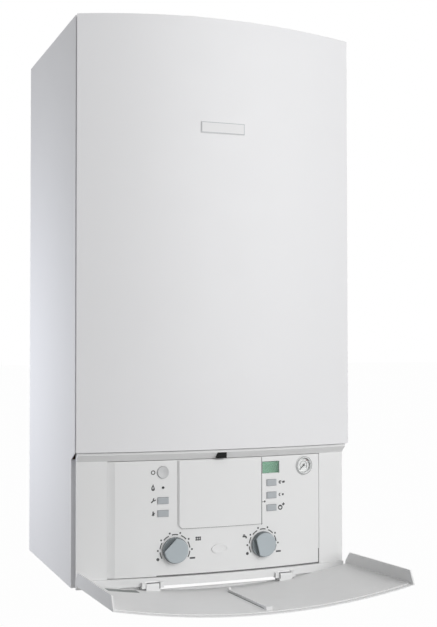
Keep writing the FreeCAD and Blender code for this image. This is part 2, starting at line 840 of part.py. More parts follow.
def control_board():
    """Circuit board with one push switch behind each button."""
    margin = "(housing_wall + board_margin)"
    z = (f"tray_level + back_steel + {margin}", f"{CONTROL_TOP} - {margin}")
    board = box((f"-{HOUSING} + {margin}", f"{HOUSING} - {margin}"),
                (BOARD_FRONT, f"{BOARD_FRONT} + board_thickness"), z)
    switches = []
    for where, level in list(BUTTONS.values()) + [("left_place", "main_level")]:
        middle = f"({where} - ({SWITCH_FACE} - {face_depth(where)}) * ({where}) / {FACE})"
        switches.append(box((f"{middle} - switch_size / 2", f"{middle} + switch_size / 2"),
                            (SWITCH_FACE, BOARD_FRONT),
                            (f"{level} - switch_size / 2", f"{level} + switch_size / 2")))
    keep(fuse(board, *switches), "control_board")


def stem_end(where):
    """How far behind the control face a button's stem stops short of its switch."""
    return f"({SWITCH_FACE} - {face_depth(where)} - button_travel - 2 * seat_gap)"


def push_button(label, where, level):
    """Moulded key with a flange behind the face and a stem to its switch."""
    flange = "control_wall + seat_gap"
    key = box(("-button_width / 2", "button_width / 2"), ("-button_proud", f"{flange} + button_flange"),
              ("-button_height / 2", "button_height / 2"))
    soft = rounded(key, size("button_rounding"), lambda edge: edge.BoundBox.YMax < 0)
    rim = box(("-button_width / 2 - button_flange", "button_width / 2 + button_flange"),
              (flange, f"{flange} + button_flange"),
              ("-button_height / 2 - button_flange", "button_height / 2 + button_flange"))
    stem = rod("y", "button_stem / 2", ("0", flange, "0"), f"{stem_end(where)} - ({flange})")
    keep(on_face(fuse(soft, rim, stem), where, level), label)


def main_switch():
    """Round push switch with a dished cap."""
    flange = "(control_wall + seat_gap)"
    radius = "main_diameter / 2"
    corners = [("0", "-button_proud / 2"), (f"{radius} * 0.6", "-button_proud"),
               (f"{radius} - 0.8", "-1.4 * button_proud"),
               (radius, "-button_proud"), (radius, flange), (f"{radius} + button_flange", flange),
               (f"{radius} + button_flange", f"{flange} + button_flange"),
               ("button_stem / 2", f"{flange} + button_flange"), ("button_stem / 2",
                                                                  stem_end("left_place")),
               ("0", stem_end("left_place"))]
    keep(on_face(turned("XY_Plane", corners), "left_place", "main_level"), "main_switch")


def knob(name, where, turn):
    """Round knob with one lowered flat that marks its setting, on its own spindle in a potentiometer."""
    back = "-knob_gap"
    front = "-knob_gap - knob_height"
    skirt = "-knob_gap - knob_skirt"
    radius = "knob_diameter / 2"
    corners = [("spindle_diameter / 2", back), (radius, back), (radius, skirt),
               (f"{radius} - 1.2", f"{front} + 1"),
               (f"{radius} - 2.2", front), ("0", front), ("0", f"{back} - spindle_reach"),
               ("spindle_diameter / 2", f"{back} - spindle_reach")]
    blank = turned("XY_Plane", corners)
    flat = box(("-knob_diameter", "-knob_grip / 2"), (f"{front} - 1", skirt),
               ("-knob_diameter", "knob_diameter"))
    grip = cut(blank, flat)
    top = -size("knob_gap") - size("knob_height")
    half = size("knob_grip") / 2

    def grip_edge(edge):
        centre = edge.CenterOfMass
        return abs(centre.x + half) < 0.01 and centre.y < top + 0.01 and edge.BoundBox.ZLength > 5

    soft = rounded(grip, size("knob_rounding"), grip_edge)
    tilted = doc.addObject("Part::Compound", "tilted")
    tilted.Links = [soft]
    tilted.Placement = FreeCAD.Placement(FreeCAD.Vector(), FreeCAD.Rotation(FreeCAD.Vector(0, 1, 0), 1))
    bind(tilted, Placement__Rotation__Angle=turn)
    keep(on_face(group(tilted), where, "knob_level"), f"{name}_knob")
    end = f"({BOARD_FRONT} - {face_depth(where)} - dial_standoff)"
    shaft = rod("y", "spindle_diameter / 2", ("0", f"{back} - spindle_reach", "0"),
                f"{end} - dial_depth / 4 + knob_gap + spindle_reach")
    keep(on_face(group(shaft), where, "knob_level"), f"{name}_spindle")
    case = box(("-dial_body / 2", "dial_body / 2"), (f"{end} - dial_depth", end),
               ("-dial_body / 2", "dial_body / 2"))
    bore = rod("y", "spindle_diameter / 2 + spindle_fit", ("0", f"{end} - dial_depth - 1", "0"),
               "dial_depth * 3 / 4 + 1 + seat_gap")
    return on_face(cut(case, bore), where, "knob_level")


def lamps():
    """Status lamp and oval indicator lens set in the control face."""
    corners = [("0", "-lens_proud"), ("lamp_diameter / 3", "-lens_proud"), ("lamp_diameter / 2", "0"),
               ("lamp_diameter / 2", "lamp_length"), ("0", "lamp_length")]
    keep(on_face(turned("XY_Plane", corners), "left_place", "lamp_level"), "status_lamp")
    lens = oval("oval_width", "oval_height", ("-lens_proud", "control_wall"))
    dish = oval("oval_width - 2 * lens_rim", "oval_height - 2 * lens_rim",
                ("-lens_proud - 1", "-lens_proud + lens_dish"))
    keep(on_face(cut(lens, dish), CONTROL_MIDDLE, "oval_level"), "indicator_lens")


def display():
    """Clear display window flush in the face, with the display module behind it."""
    window_y = ("-lens_proud / 2", "window_thickness")
    keep(face_block("display_place", "display_level", "display_width", "display_height", window_y),
         "display_window")
    behind = "(control_wall + seat_gap)"
    module = box(("-display_width / 2 - module_margin", "display_width / 2 + module_margin"),
                 (behind, f"{behind} + module_depth"),
                 ("-display_height / 2 - module_margin", "display_height / 2 + module_margin"))
    picture = box(("-display_width / 2 + 1", "display_width / 2 - 1"),
                  ("window_thickness", f"{behind} + 1"),
                  ("-display_height / 2 + 1", "display_height / 2 - 1"))
    keep(on_face(fuse(module, picture), "display_place", "display_level"), "display_module")


def gauge():
    """Round pressure gauge: cup with a rim, dial, needle on a pivot and a clear lens."""
    rim = "gauge_diameter / 2"
    wall = "(gauge_diameter / 2 - gauge_rim - lamp_fit)"
    inside = "(gauge_diameter / 2 - 2 * gauge_rim)"
    floor = "(gauge_length - gauge_proud)"
    case = [(inside, "-gauge_proud"), (f"{rim} - 1", "-gauge_proud"), (rim, "-gauge_proud + 1"),
            (rim, "-seat_gap"),
            (wall, "-seat_gap"), (wall, floor), ("0", floor), ("0", f"{floor} - gauge_rim"),
            (inside, f"{floor} - gauge_rim")]
    keep(on_face(turned("XY_Plane", case), GAUGE_PLACE, "gauge_level"), "gauge_case")
    glass_front = "(-gauge_proud + 0.2)"
    glass_rim = f"{inside} - lamp_fit"
    glass = [("0", glass_front), (glass_rim, glass_front), (glass_rim, f"{glass_front} + gauge_glass"),
             ("0", f"{glass_front} + gauge_glass")]
    keep(on_face(turned("XY_Plane", glass), GAUGE_PLACE, "gauge_level"), "gauge_lens")
    dial_face = "(2 * gauge_glass)"
    hole = "needle_pivot / 2 + spindle_fit"
    dial = [(hole, dial_face), (f"{inside} - lamp_fit", dial_face),
            (f"{inside} - lamp_fit", f"{dial_face} + dial_thickness"), (hole,
                                                                        f"{dial_face} + dial_thickness")]
    keep(on_face(turned("XY_Plane", dial), GAUGE_PLACE, "gauge_level"), "gauge_dial")
    needle_y = (f"{dial_face} - seat_gap - needle_thickness", f"{dial_face} - seat_gap")
    tip = "(gauge_diameter / 2 - 3 * gauge_rim)"
    pointer = padded("XZ_Plane", [("-needle_width / 2", f"-{tip} / 3"), ("needle_width / 2", f"-{tip} / 3"),
                                  ("needle_width / 2", f"{tip} / 2"), ("needle_width / 6", tip),
                                  ("-needle_width / 6", tip), ("-needle_width / 2", f"{tip} / 2")],
                     "needle_thickness")
    place(pointer, y=needle_y[1])
    hub = rod("y", "1.3 * needle_width", ("0", f"{needle_y[0]} - seat_gap", "0"),
              "needle_thickness + seat_gap")
    pivot = rod("y", "needle_pivot / 2", ("0", needle_y[0], "0"),
                "needle_thickness + seat_gap + dial_thickness")
    tilted = group(fuse(pointer, hub, pivot))
    tilted.Placement = FreeCAD.Placement(FreeCAD.Vector(), FreeCAD.Rotation(FreeCAD.Vector(0, 1, 0), 1))
    bind(tilted, Placement__Rotation__Angle="-needle_turn")
    keep(on_face(group(tilted), GAUGE_PLACE, "gauge_level"), "gauge_needle")


control_fascia()
blank_cover()
control_housing()
control_board()
for button_label, (button_place, button_level) in BUTTONS.items():
    push_button(button_label, button_place, button_level)
main_switch()
keep(group(*[knob(name, where, turn) for name, (where, turn) in KNOBS.items()]), "potentiometers")
lamps()
display()
gauge()

# Flap, modelled shut and then swung open about its hinge

FLAP_HALF = "flap_width / 2"
FLAP_FOOT = "(hinge_level - flap_tail)"
FLAP_TOP = "(panel_foot - seam_gap)"


def flap():
    """Bowed tray-shaped flap: side walls, a foot wall, two hinge lugs with stub pins and a middle bar."""
    back = "-side_depth + flap_side"
    shell = bowed((f"-{FLAP_HALF}", FLAP_HALF), back, (FLAP_FOOT, FLAP_TOP), "0")
    inner = f"({FLAP_HALF} - flap_wall)"
    hollow = bowed((f"-{inner}", inner), f"{back} + 1", (f"{FLAP_FOOT} + flap_wall", f"{FLAP_TOP} + 1"),
                   "flap_wall")
    foot_z = (f"{FLAP_FOOT} - 1", f"{FLAP_FOOT} + 2 * flap_wall")
    trim = box((f"-{inner}", inner), ("-hinge_depth - flap_shoulder", "0"), foot_z)
    slot = box((f"-{LUG_INNER}", LUG_INNER), ("-hinge_depth - flap_slot", "0"), foot_z)
    rebate = bowed((f"-{inner}", inner), f"{back} + 1", (f"{FLAP_TOP} - rebate_width", f"{FLAP_TOP} + 1"),
                   "flap_wall - rebate_depth")
    slope_run = f"({SIDE_FRONT} - {LOWER_FRONT})"
    corner = [(f"-{LOWER_FRONT}", "panel_foot - lower_slope - slope_clearance"),
              (f"-{SIDE_FRONT} - slope_clearance * {slope_run} / lower_slope", "panel_foot"),
              (f"-{LOWER_FRONT}", "panel_foot")]
    relief = padded("YZ_Plane", corner, f"2 * {FLAP_HALF} + 2")
    place(relief, x=f"-{FLAP_HALF} - 1")
    rear_corner = [(f"{back} + 1", f"{FLAP_FOOT} - 1"), (f"{back} + 1", f"{FLAP_FOOT} + heel_relief"),
                   (f"{back} - heel_relief", f"{FLAP_FOOT} - 1")]
    heel = padded("YZ_Plane", rear_corner, f"2 * {FLAP_HALF} + 2")
    place(heel, x=f"-{FLAP_HALF} - 1")
    tray = cut(shell, hollow, trim, slot, rebate, relief, heel)
    additions = []
    hinge_z = ("hinge_level - knuckle_radius", "hinge_level + knuckle_radius")
    pin_reach = "(boss_width + lug_clearance - seat_gap)"
    for side in (-1, 1):
        lug_x = (f"{side} * lug_place - lug_width / 2", f"{side} * lug_place + lug_width / 2")
        additions.append(bowed(lug_x, "-hinge_depth", hinge_z, "flap_wall / 2"))
        additions.append(rod("x", "knuckle_radius", (lug_x[0], "-hinge_depth", "hinge_level"), "lug_width"))
        additions.append(rod("x", "pin_radius",
                             (f"{lug_x[0]} - {pin_reach}", "-hinge_depth", "hinge_level"),
                             f"lug_width + 2 * {pin_reach}"))
    inner_y = "-side_depth - front_bow + flap_wall"
    rib_z = ("rib_start", f"{FLAP_TOP} - 2 * rebate_width")
    block_z = (f"{rib_z[1]} - rib_block", rib_z[1])
    for width, height, z in (("rib_width", "rib_height", rib_z), ("rib_block", "rib_block_height", block_z)):
        bar_x = (f"rib_place - {width} / 2", f"rib_place + {width} / 2")
        additions.append(bowed(bar_x, f"{inner_y} + {height}", z, "flap_wall / 2"))
    post_start = ("rib_place", f"{inner_y} - flap_wall / 2", rib_z[0])
    additions.append(rod("y", "post_radius", post_start, "flap_wall / 2 + post_height"))
    whole = fuse(tray, *additions)
    swing = "(90 - flap_tilt)"
    whole.Placement = FreeCAD.Placement(FreeCAD.Vector(), FreeCAD.Rotation(FreeCAD.Vector(1, 0, 0), 1))
    bind(whole, Placement__Rotation__Angle=swing)
    place(whole, "0", f"-hinge_depth + hinge_depth * cos({swing}) + hinge_level * sin({swing})",
          f"hinge_level + hinge_depth * sin({swing}) - hinge_level * cos({swing})")
    reach = f"({CHEEK} + lug_clearance)"
    beam_room = bowed((f"-{reach}", reach), CHEEK_BACK,
                      ("beam_foot - beam_clearance", "beam_height + beam_clearance"),
                      "beam_setback - beam_clearance")
    lug_rooms = [lug_notch(side, "beam_height + 2 * beam_clearance") for side in (-1, 1)]
    keep(cut(whole, cut(beam_room, *lug_rooms)), "flap")


flap()

# Combustion side: chamber, burner, heat exchanger, hood, fan and flue

CHAMBER = f"({RISER_PLACE} - riser_gap)"
CHAMBER_INSIDE = f"({CHAMBER} - back_steel)"
CHAMBER_FRONT = "(-chamber_back - chamber_depth)"
CHAMBER_MIDDLE = "(-chamber_back - chamber_depth / 2)"
RISER_HOLE = "pipe_diameter / 2 + 2 * tube_clearance"
EXCHANGER_LEVEL = "(exchanger_foot + exchanger_height / 2)"
BURNER_HALF = f"({CHAMBER} - burner_margin)"
BLADE_PITCH = f"((2 * {BURNER_HALF} - 2 * blade_margin) / burner_blades)"
FIN_PITCH = f"((2 * {CHAMBER_INSIDE} - 2 * fin_margin - fin_gap) / (fin_count - 1))"


def combustion_chamber():
    """Steel box open above and below, on a floor that reaches both sides of the casing."""
    outer = box((f"-{CHAMBER}", CHAMBER), (CHAMBER_FRONT, "-chamber_back"), ("chamber_foot", "chamber_top"))
    inner = box((f"-{CHAMBER_INSIDE}", CHAMBER_INSIDE),
                (f"{CHAMBER_FRONT} + back_steel", "-chamber_back - back_steel"),
                ("chamber_foot - 1", "chamber_top + 1"))
    floor = box((f"-{INSIDE}", INSIDE), (CHAMBER_FRONT, "-chamber_back"),
                ("chamber_foot", "chamber_foot + back_steel"))
    mouth = box((f"-{BURNER_HALF}", BURNER_HALF),
                (f"{CHAMBER_FRONT} + 2.5 * burner_rail", "-chamber_back - 2.5 * burner_rail"),
                ("chamber_foot - 1", "chamber_foot + 3 * back_steel"))
    tubes = rod("x", "exchanger_tube / 2 + tube_clearance",
                (f"-{CHAMBER} - 1", f"-{RISER_DEPTH}", EXCHANGER_LEVEL),
                f"2 * {CHAMBER} + 2")
    risers = [rod("z", RISER_HOLE, (f"{side} * {RISER_PLACE}", f"-{RISER_DEPTH}", "chamber_foot - 1"),
                  "3 * back_steel")
              for side in (-1, 1)]
    ports = [rod("y", "electrode_radius + tube_clearance",
                 (f"{side} * electrode_spread", f"{CHAMBER_FRONT} - 1", "electrode_level"),
                 "3 * back_steel")
             for side in (-1, 1)]
    keep(cut(fuse(cut(outer, inner), floor), mouth, tubes, *risers, *ports), "combustion_chamber")


def chamber_insulation():
    """Four fibre boards that line the chamber above the burner."""
    z = ("insulation_foot", "exchanger_foot - insulation_gap")
    front = f"{CHAMBER_FRONT} + back_steel"
    back = "-chamber_back - back_steel"
    boards = [box((f"-{CHAMBER_INSIDE}", CHAMBER_INSIDE), (front, f"{front} + board_insulation"), z),
              box((f"-{CHAMBER_INSIDE}", CHAMBER_INSIDE), (f"{back} - board_insulation", back), z)]
    side_y = (f"{front} + board_insulation", f"{back} - board_insulation")
    boards.append(box((f"-{CHAMBER_INSIDE}", f"-{CHAMBER_INSIDE} + board_insulation"), side_y, z))
    boards.append(box((f"{CHAMBER_INSIDE} - board_insulation", CHAMBER_INSIDE), side_y, z))
    keep(group(*boards), "chamber_insulation")


def burner():
    """Row of flat blades on two rails, fed by a manifold with one injector per blade."""
    foot = "(chamber_foot + back_steel)"
    rail_y = (f"({CHAMBER_FRONT} + 2 * burner_rail)", "(-chamber_back - 2 * burner_rail)")
    span = f"(burner_blades - 1) * {BLADE_PITCH} / 2"
    body = doc.addObject("PartDesign::Body", "blades")
    blade = body.newObject("PartDesign::Pad", "blade")
    blade.Profile = outline(body, "YZ_Plane", [(rail_y[0], f"{foot} + 2"), (rail_y[1], f"{foot} + 2"),
                                               (rail_y[1], f"{foot} + blade_height"),
                                               (rail_y[0], f"{foot} + blade_height")])
    bind(blade, Length="blade_thickness")
    rail = body.newObject("PartDesign::Pad", "rail")
    rail.Profile = outline(body, "YZ_Plane", [(rail_y[0], foot), (f"{rail_y[0]} + burner_rail", foot),
                                              (f"{rail_y[0]} + burner_rail", f"{foot} + burner_rail"),
                                              (rail_y[0], f"{foot} + burner_rail")])
    bind(rail, Length=f"2 * ({span}) + blade_thickness")
    repeat_along(body, blade, "X_Axis", BLADE_PITCH, "burner_blades")
    place(body, x=f"-({span}) - blade_thickness / 2")
    rear = box((f"-({span})", span), (f"{rail_y[1]} - burner_rail", rail_y[1]),
               (foot, f"{foot} + burner_rail"))
    pipe_z = f"({foot} - manifold_drop)"
    pipe = rod("x", "manifold_radius", (f"-({span}) - blade_thickness", CHAMBER_MIDDLE, pipe_z),
               f"2 * ({span}) + 2 * blade_thickness")
    injectors = [rod("z", "injector_radius",
                     (f"-({span}) + {number} * {BLADE_PITCH}", CHAMBER_MIDDLE, pipe_z),
                     "manifold_drop + 4")
                 for number in range(int(size("burner_blades")))]
    inlet = rod("z", "manifold_radius", ("0", CHAMBER_MIDDLE, VALVE_TOP), f"{pipe_z} - {VALVE_TOP}")
    keep(fuse(body, rear, pipe, inlet, *injectors), "burner")


def heat_exchanger():
    """Finned copper block with three tubes; the rear tube's ends pass through the chamber."""
    depth = ("-chamber_depth / 2 + 2 * board_insulation", "chamber_depth / 2 - 2 * board_insulation")
    height = ("-exchanger_height / 2", "exchanger_height / 2")
    body = doc.addObject("PartDesign::Body", "fins")
    fin = body.newObject("PartDesign::Pad", "fin")
    fin.Profile = outline(body, "YZ_Plane", [(depth[0], height[0]), (depth[1], height[0]),
                                             (depth[1], height[1]), (depth[0], height[1])])
    bind(fin, Length="fin_thickness")
    core = body.newObject("PartDesign::Pad", "core")
    edge = ("-chamber_depth / 2 + 3 * board_insulation", "chamber_depth / 2 - 3 * board_insulation")
    slab = ("-core_thickness / 2", "core_thickness / 2")
    core.Profile = outline(body, "YZ_Plane", [(edge[0], slab[0]), (edge[1], slab[0]),
                                              (edge[1], slab[1]), (edge[0], slab[1])])
    bind(core, Length=f"{FIN_PITCH} * (fin_count - 1) + fin_thickness")
    repeat_along(body, fin, "X_Axis", FIN_PITCH, "fin_count")
    place(body, f"-{FIN_PITCH} * (fin_count - 1) / 2 - fin_thickness / 2", CHAMBER_MIDDLE, EXCHANGER_LEVEL)
    ends = [box((low, high), ("-chamber_back - chamber_depth + 2 * board_insulation",
                              "-chamber_back - 2 * board_insulation"),
                ("exchanger_foot", "exchanger_foot + exchanger_height"))
            for low, high in ((f"-{CHAMBER_INSIDE}", f"-{CHAMBER_INSIDE} + fin_margin"),
                              (f"{CHAMBER_INSIDE} - fin_margin", CHAMBER_INSIDE))]
    through = rod("x", "exchanger_tube / 2",
                  (f"-{CHAMBER} - tube_stub", f"-{RISER_DEPTH}", EXCHANGER_LEVEL),
                  f"2 * {CHAMBER} + 2 * tube_stub")
    tubes = [rod("x", "exchanger_tube / 2", (f"-{CHAMBER_INSIDE}", y, EXCHANGER_LEVEL),
                 f"2 * {CHAMBER_INSIDE}")
             for y in (CHAMBER_MIDDLE, f"{CHAMBER_FRONT} + riser_setback")]
    keep(fuse(body, *ends, through, *tubes), "heat_exchanger")


HOOD_TOP = "(chamber_top + hood_height)"
FAN_LEVEL = f"({HOOD_TOP} + fan_radius + 2)"
FAN_Y = ("(-flue_depth - fan_width / 2)", "(-flue_depth + fan_width / 2)")
DUCT_TOP = f"({SIDE_TOP} - 4 * seam_gap)"
DUCT = "(flue_bore / 2 + flue_wall)"


def tapered_hood(skin):
    """The hood's outer form, or its hollow when a skin is given."""
    piece = doc.addObject("Part::Wedge", "hood")
    bind(piece, Xmin=f"-{CHAMBER} + {skin}", Xmax=f"{CHAMBER} - {skin}", Ymin="0",
         Ymax=f"hood_height - {skin}",
         Zmin=f"chamber_back + {skin}", Zmax=f"chamber_back + chamber_depth - {skin}",
         X2min=f"-hood_neck / 2 - fan_offset + {skin}", X2max=f"hood_neck / 2 - fan_offset - {skin}",
         Z2min=f"flue_depth - fan_width / 2 - fan_foot + {skin}",
         Z2max=f"flue_depth + fan_width / 2 + fan_foot - {skin}")
    piece.Placement = FreeCAD.Placement(FreeCAD.Vector(), FreeCAD.Rotation(FreeCAD.Vector(1, 0, 0), 90))
    return place(piece, z="chamber_top")


def flue_hood():
    """Tapered collector above the heat exchanger, open to the fan at its top."""
    window = fan_inlet()
    keep(cut(tapered_hood("0"), tapered_hood("hood_steel"), window), "flue_hood")


def fan_inlet():
    """The opening from the hood into the fan."""
    return box(("-fan_offset - impeller_radius / 2", "-fan_offset + impeller_radius / 2"),
               ("-flue_depth - impeller_width / 2", "-flue_depth + impeller_width / 2"),
               (f"{HOOD_TOP} - 2 * hood_steel", f"{HOOD_TOP} + fan_radius / 3"))


def fan_housing():
    """Snail-shaped fan casing with an upward outlet duct, on a flat foot."""
    drum = rod("y", "fan_radius", ("-fan_offset", FAN_Y[0], FAN_LEVEL), "fan_width")
    duct = box((f"-{DUCT}", DUCT), FAN_Y, (FAN_LEVEL, DUCT_TOP))
    foot = box(("-fan_offset - fan_radius", "-fan_offset + fan_radius"), FAN_Y,
               (HOOD_TOP, f"{HOOD_TOP} + fan_foot"))
    web = box(("-fan_offset - fan_radius / 2", "-fan_offset + fan_radius / 2"), FAN_Y,
              (HOOD_TOP, FAN_LEVEL))
    hollow = rod("y", "fan_radius - fan_wall", ("-fan_offset", f"{FAN_Y[0]} + fan_wall", FAN_LEVEL),
                 "fan_width - 2 * fan_wall")
    passage = box((f"-{DUCT} + fan_wall", f"{DUCT} - fan_wall"),
                  (f"{FAN_Y[0]} + fan_wall", f"{FAN_Y[1]} - fan_wall"),
                  (FAN_LEVEL, f"{DUCT_TOP} + 1"))
    shaft_hole = rod("y", "shaft_radius + shaft_fit", ("-fan_offset", f"{FAN_Y[0]} - 1", FAN_LEVEL),
                     "fan_wall + 2")
    keep(cut(fuse(drum, duct, foot, web), hollow, passage, shaft_hole, fan_inlet()), "fan_housing")


def vaned_wheel(blades, radius, width, hub, shaft_back):
    """A backed wheel of flat vanes about y, with its shaft reaching forward."""
    body = doc.addObject("PartDesign::Body", "wheel")
    front = f"-{width} / 2"
    back = f"{width} / 2"
    sketch = outline(body, "XY_Plane", [("0", shaft_back), ("shaft_radius", shaft_back),
                                        ("shaft_radius", front), (hub, front), (hub, f"{back} - 3"),
                                        (radius, f"{back} - 3"), (radius, back), ("0", back)])
    disc = body.newObject("PartDesign::Revolution", "disc")
    disc.Profile = sketch
    disc.ReferenceAxis = (sketch, ["V_Axis"])
    disc.Angle = 360
    vane = body.newObject("PartDesign::Pad", "vane")
    vane.Profile = outline(body, "XY_Plane", [(f"{hub} - 1", front), (f"{radius} - 0.5", front),
                                              (f"{radius} - 0.5", f"{back} - 2"),
                                              (f"{hub} - 1", f"{back} - 2")])
    bind(vane, Length="fan_wall / 2")
    return repeat_around(body, vane, "Y_Axis", blades)


def fan():
    """Impeller on the motor's shaft, and the motor in front of the casing."""
    front = f"({FAN_Y[0]} + flue_depth - fan_motor_length / 2)"
    wheel = vaned_wheel("fan_blades", "impeller_radius", "impeller_width", "3 * shaft_radius", front)
    keep(place(wheel, "-fan_offset", "-flue_depth", FAN_LEVEL), "fan_impeller")
    can = rod("y", "fan_motor_radius", ("-fan_offset", f"{FAN_Y[0]} - fan_motor_length", FAN_LEVEL),
              "fan_motor_length")
    boss = rod("y", "fan_motor_radius / 2", ("-fan_offset", f"{FAN_Y[0]} - fan_motor_length - fan_foot",
                                             FAN_LEVEL),
               "fan_foot + 1")
    bore = rod("y", "shaft_radius + shaft_fit",
               ("-fan_offset", f"{FAN_Y[0]} - fan_motor_length / 2 - seat_gap", FAN_LEVEL),
               "fan_motor_length")
    keep(cut(fuse(can, boss), bore), "fan_motor")


def flue():
    """Inner flue socket on the fan's outlet and the outer air collar on the lid."""
    top = "(casing_height + flue_rise)"
    spigot = rod("z", DUCT, ("0", "-flue_depth", DUCT_TOP), f"{top} - {DUCT_TOP}")
    bore = rod("z", "flue_bore / 2", ("0", "-flue_depth", f"{DUCT_TOP} - 1"), f"{top} - {DUCT_TOP} + 2")
    flange = box((f"-{DUCT}", DUCT), (f"-flue_depth - {DUCT}", f"-flue_depth + {DUCT}"),
                 (DUCT_TOP, f"{DUCT_TOP} + flue_wall"))
    keep(cut(fuse(spigot, flange), bore), "flue_spigot")
    collar = rod("z", "collar_diameter / 2", ("0", "-flue_depth", "casing_height"), "flue_rise")
    plate = rod("z", "collar_diameter / 2 + collar_flange", ("0", "-flue_depth", "casing_height"),
                "2 * flue_wall")
    opening = rod("z", "collar_diameter / 2 - flue_wall", ("0", "-flue_depth", "casing_height - 1"),
                  "flue_rise + 2")
    keep(cut(fuse(collar, plate), opening), "air_collar")


def electrodes():
    """Ignition and flame-sensing electrodes, two alike, through the chamber's front."""
    pieces = []
    for side in (-1, 1):
        x = f"{side} * electrode_spread"
        pin = rod("y", "electrode_radius",
                  (x, f"{CHAMBER_FRONT} - 3 * electrode_radius", "electrode_level"), "electrode_length")
        collar = rod("y", "2 * electrode_radius",
                     (x, f"{CHAMBER_FRONT} - electrode_radius", "electrode_level"), "electrode_radius")
        pieces.append(fuse(pin, collar))
    keep(group(*pieces), "electrodes")


def vessel_form(skin):
    """The vessel's outer form, or its hollow when its steel is given as the skin."""
    inset = 0 if skin == "0" else size(skin)
    half = f"({CHAMBER} - vessel_inset - {skin})"
    z = (f"vessel_foot + {skin}", f"vessel_foot + vessel_height - {skin}")
    tank = padded("XZ_Plane", [(f"-{half}", z[0]), (half, z[0]), (half, z[1]), (f"-{half}", z[1])],
                  f"vessel_thickness - 2 * {skin}")
    place(tank, y=f"-back_steel - {skin}")
    radius = size("vessel_rounding") - inset
    front = -size("back_steel") - size("vessel_thickness") + inset
    corners = rounded(tank, radius, lambda edge: edge.BoundBox.YLength > 1)
    return rounded(corners, radius / 2, lambda edge: edge.BoundBox.YMax < front + 0.01)


def expansion_vessel():
    """Flat hollow steel vessel with rounded corners on the back plate, and a port below."""
    port = rod("z", "vessel_port", ("0", "-back_steel - vessel_thickness / 2", "vessel_foot - 1"),
               "3 * vessel_steel")
    keep(cut(vessel_form("0"), vessel_form("vessel_steel"), port), "expansion_vessel")


# Water and gas side: tails through the base tray, blocks, pump, plates, valves and pipes

TRAY_TOP = "(tray_level + back_steel)"
RISER_BOSS = "pipe_diameter / 2 + 2 * pipe_wall"
BLOCK_TOP = "(block_foot + block_height)"
VALVE_TOP = "(chamber_foot - 5 * manifold_radius)"
VALVE_FOOT = f"({VALVE_TOP} - valve_height)"
GLAND = ("gland_place", f"{CHEEK_BACK} + housing_depth + gland_margin")
TAILS = {-2: "large_thread", -1: "small_thread", 0: "large_thread", 1: "small_thread", 2: "large_thread"}


def tail(number, top):
    """Threaded tail down through the tray, with a collar resting on the tray."""
    x = f"{number} * {TAIL_PITCH}"
    foot = (x, "-tail_depth", "-tail_drop")
    thread = rod("z", f"{TAILS[number]} / 2", foot, "thread_length")
    neck = rod("z", f"{TAILS[number]} / 2 - thread_relief", foot, f"({top}) + tail_drop")
    collar = rod("z", f"{TAILS[number]} / 2 + collar_margin", (x, "-tail_depth", TRAY_TOP), "collar_height")
    return [thread, neck, collar]


def tail_bore(number, top):
    """The waterway up through a tail."""
    start = (f"{number} * {TAIL_PITCH}", "-tail_depth", "-tail_drop - 1")
    return rod("z", f"{TAILS[number]} / 2 - tail_wall", start, f"({top}) + tail_drop")


def base_tray():
    """Steel tray across the foot of the casing, pierced for the tails and the gland."""
    plate = box((f"-{INSIDE}", INSIDE), (f"-{LOWER_FRONT} + sheet_steel + seat_gap", "-back_steel"),
                ("tray_level", TRAY_TOP))
    holes = [rod("z", f"{thread} / 2 + tail_clearance",
                 (f"{number} * {TAIL_PITCH}", "-tail_depth", "tray_level - 1"), "back_steel + 2")
             for number, thread in TAILS.items()]
    holes.append(rod("z", "gland_radius + lamp_fit", (*GLAND, "tray_level - 1"), "back_steel + 2"))
    keep(cut(plate, *holes), "base_tray")


def cable_gland():
    """Gland for the mains lead, clamped on the tray between its nut and its body."""
    neck = rod("z", "gland_radius", (*GLAND, "tray_level - gland_length"), "2 * gland_length + back_steel")
    nuts = [rod("z", "gland_flange", (*GLAND, z), "gland_length / 2")
            for z in ("tray_level - gland_length / 2", TRAY_TOP)]
    bore = rod("z", "gland_radius / 2", (*GLAND, "tray_level - 2 * gland_length"), "4 * gland_length")
    keep(cut(fuse(neck, *nuts), bore), "cable_gland")


def water_block(side):
    """Hollow hydraulic block over an outer tail."""
    x = (BLOCK_INNER, BLOCK_OUTER) if side > 0 else (f"-{BLOCK_OUTER}", f"-{BLOCK_INNER}")
    body = box(x, ("-block_front", "-block_back"), ("block_foot", BLOCK_TOP))
    chamber = box((f"{x[0]} + block_wall", f"{x[1]} - block_wall"),
                  ("-block_front + block_wall", "-block_back - block_wall"),
                  ("block_foot + block_wall", f"{BLOCK_TOP} - block_wall"))
    return [cut(body, chamber)] + tail(2 * side, "block_foot + 1")


def diverter_valve():
    """Flow block with the diverter's actuator and the riser's boss on top."""
    boss = rod("z", RISER_BOSS, (f"-{RISER_PLACE}", f"-{RISER_DEPTH}", BLOCK_TOP), "boss_height")
    spot = (f"-{BLOCK_INNER} - 1.5 * actuator_radius", "-block_front / 2", BLOCK_TOP)
    actuator = rod("z", "actuator_radius", spot, "actuator_height")
    head = rod("z", "actuator_radius * 0.7", spot, "actuator_height + boss_height")
    solid = fuse(*water_block(-1), boss, actuator, head)
    keep(cut(solid, tail_bore(-2, "block_foot + block_height / 3")), "diverter_valve")


PUMP_FRONT = "(-block_front - boss_height)"
PUMP_SPOT = (PUMP_PLACE, PUMP_FRONT, "pump_level")


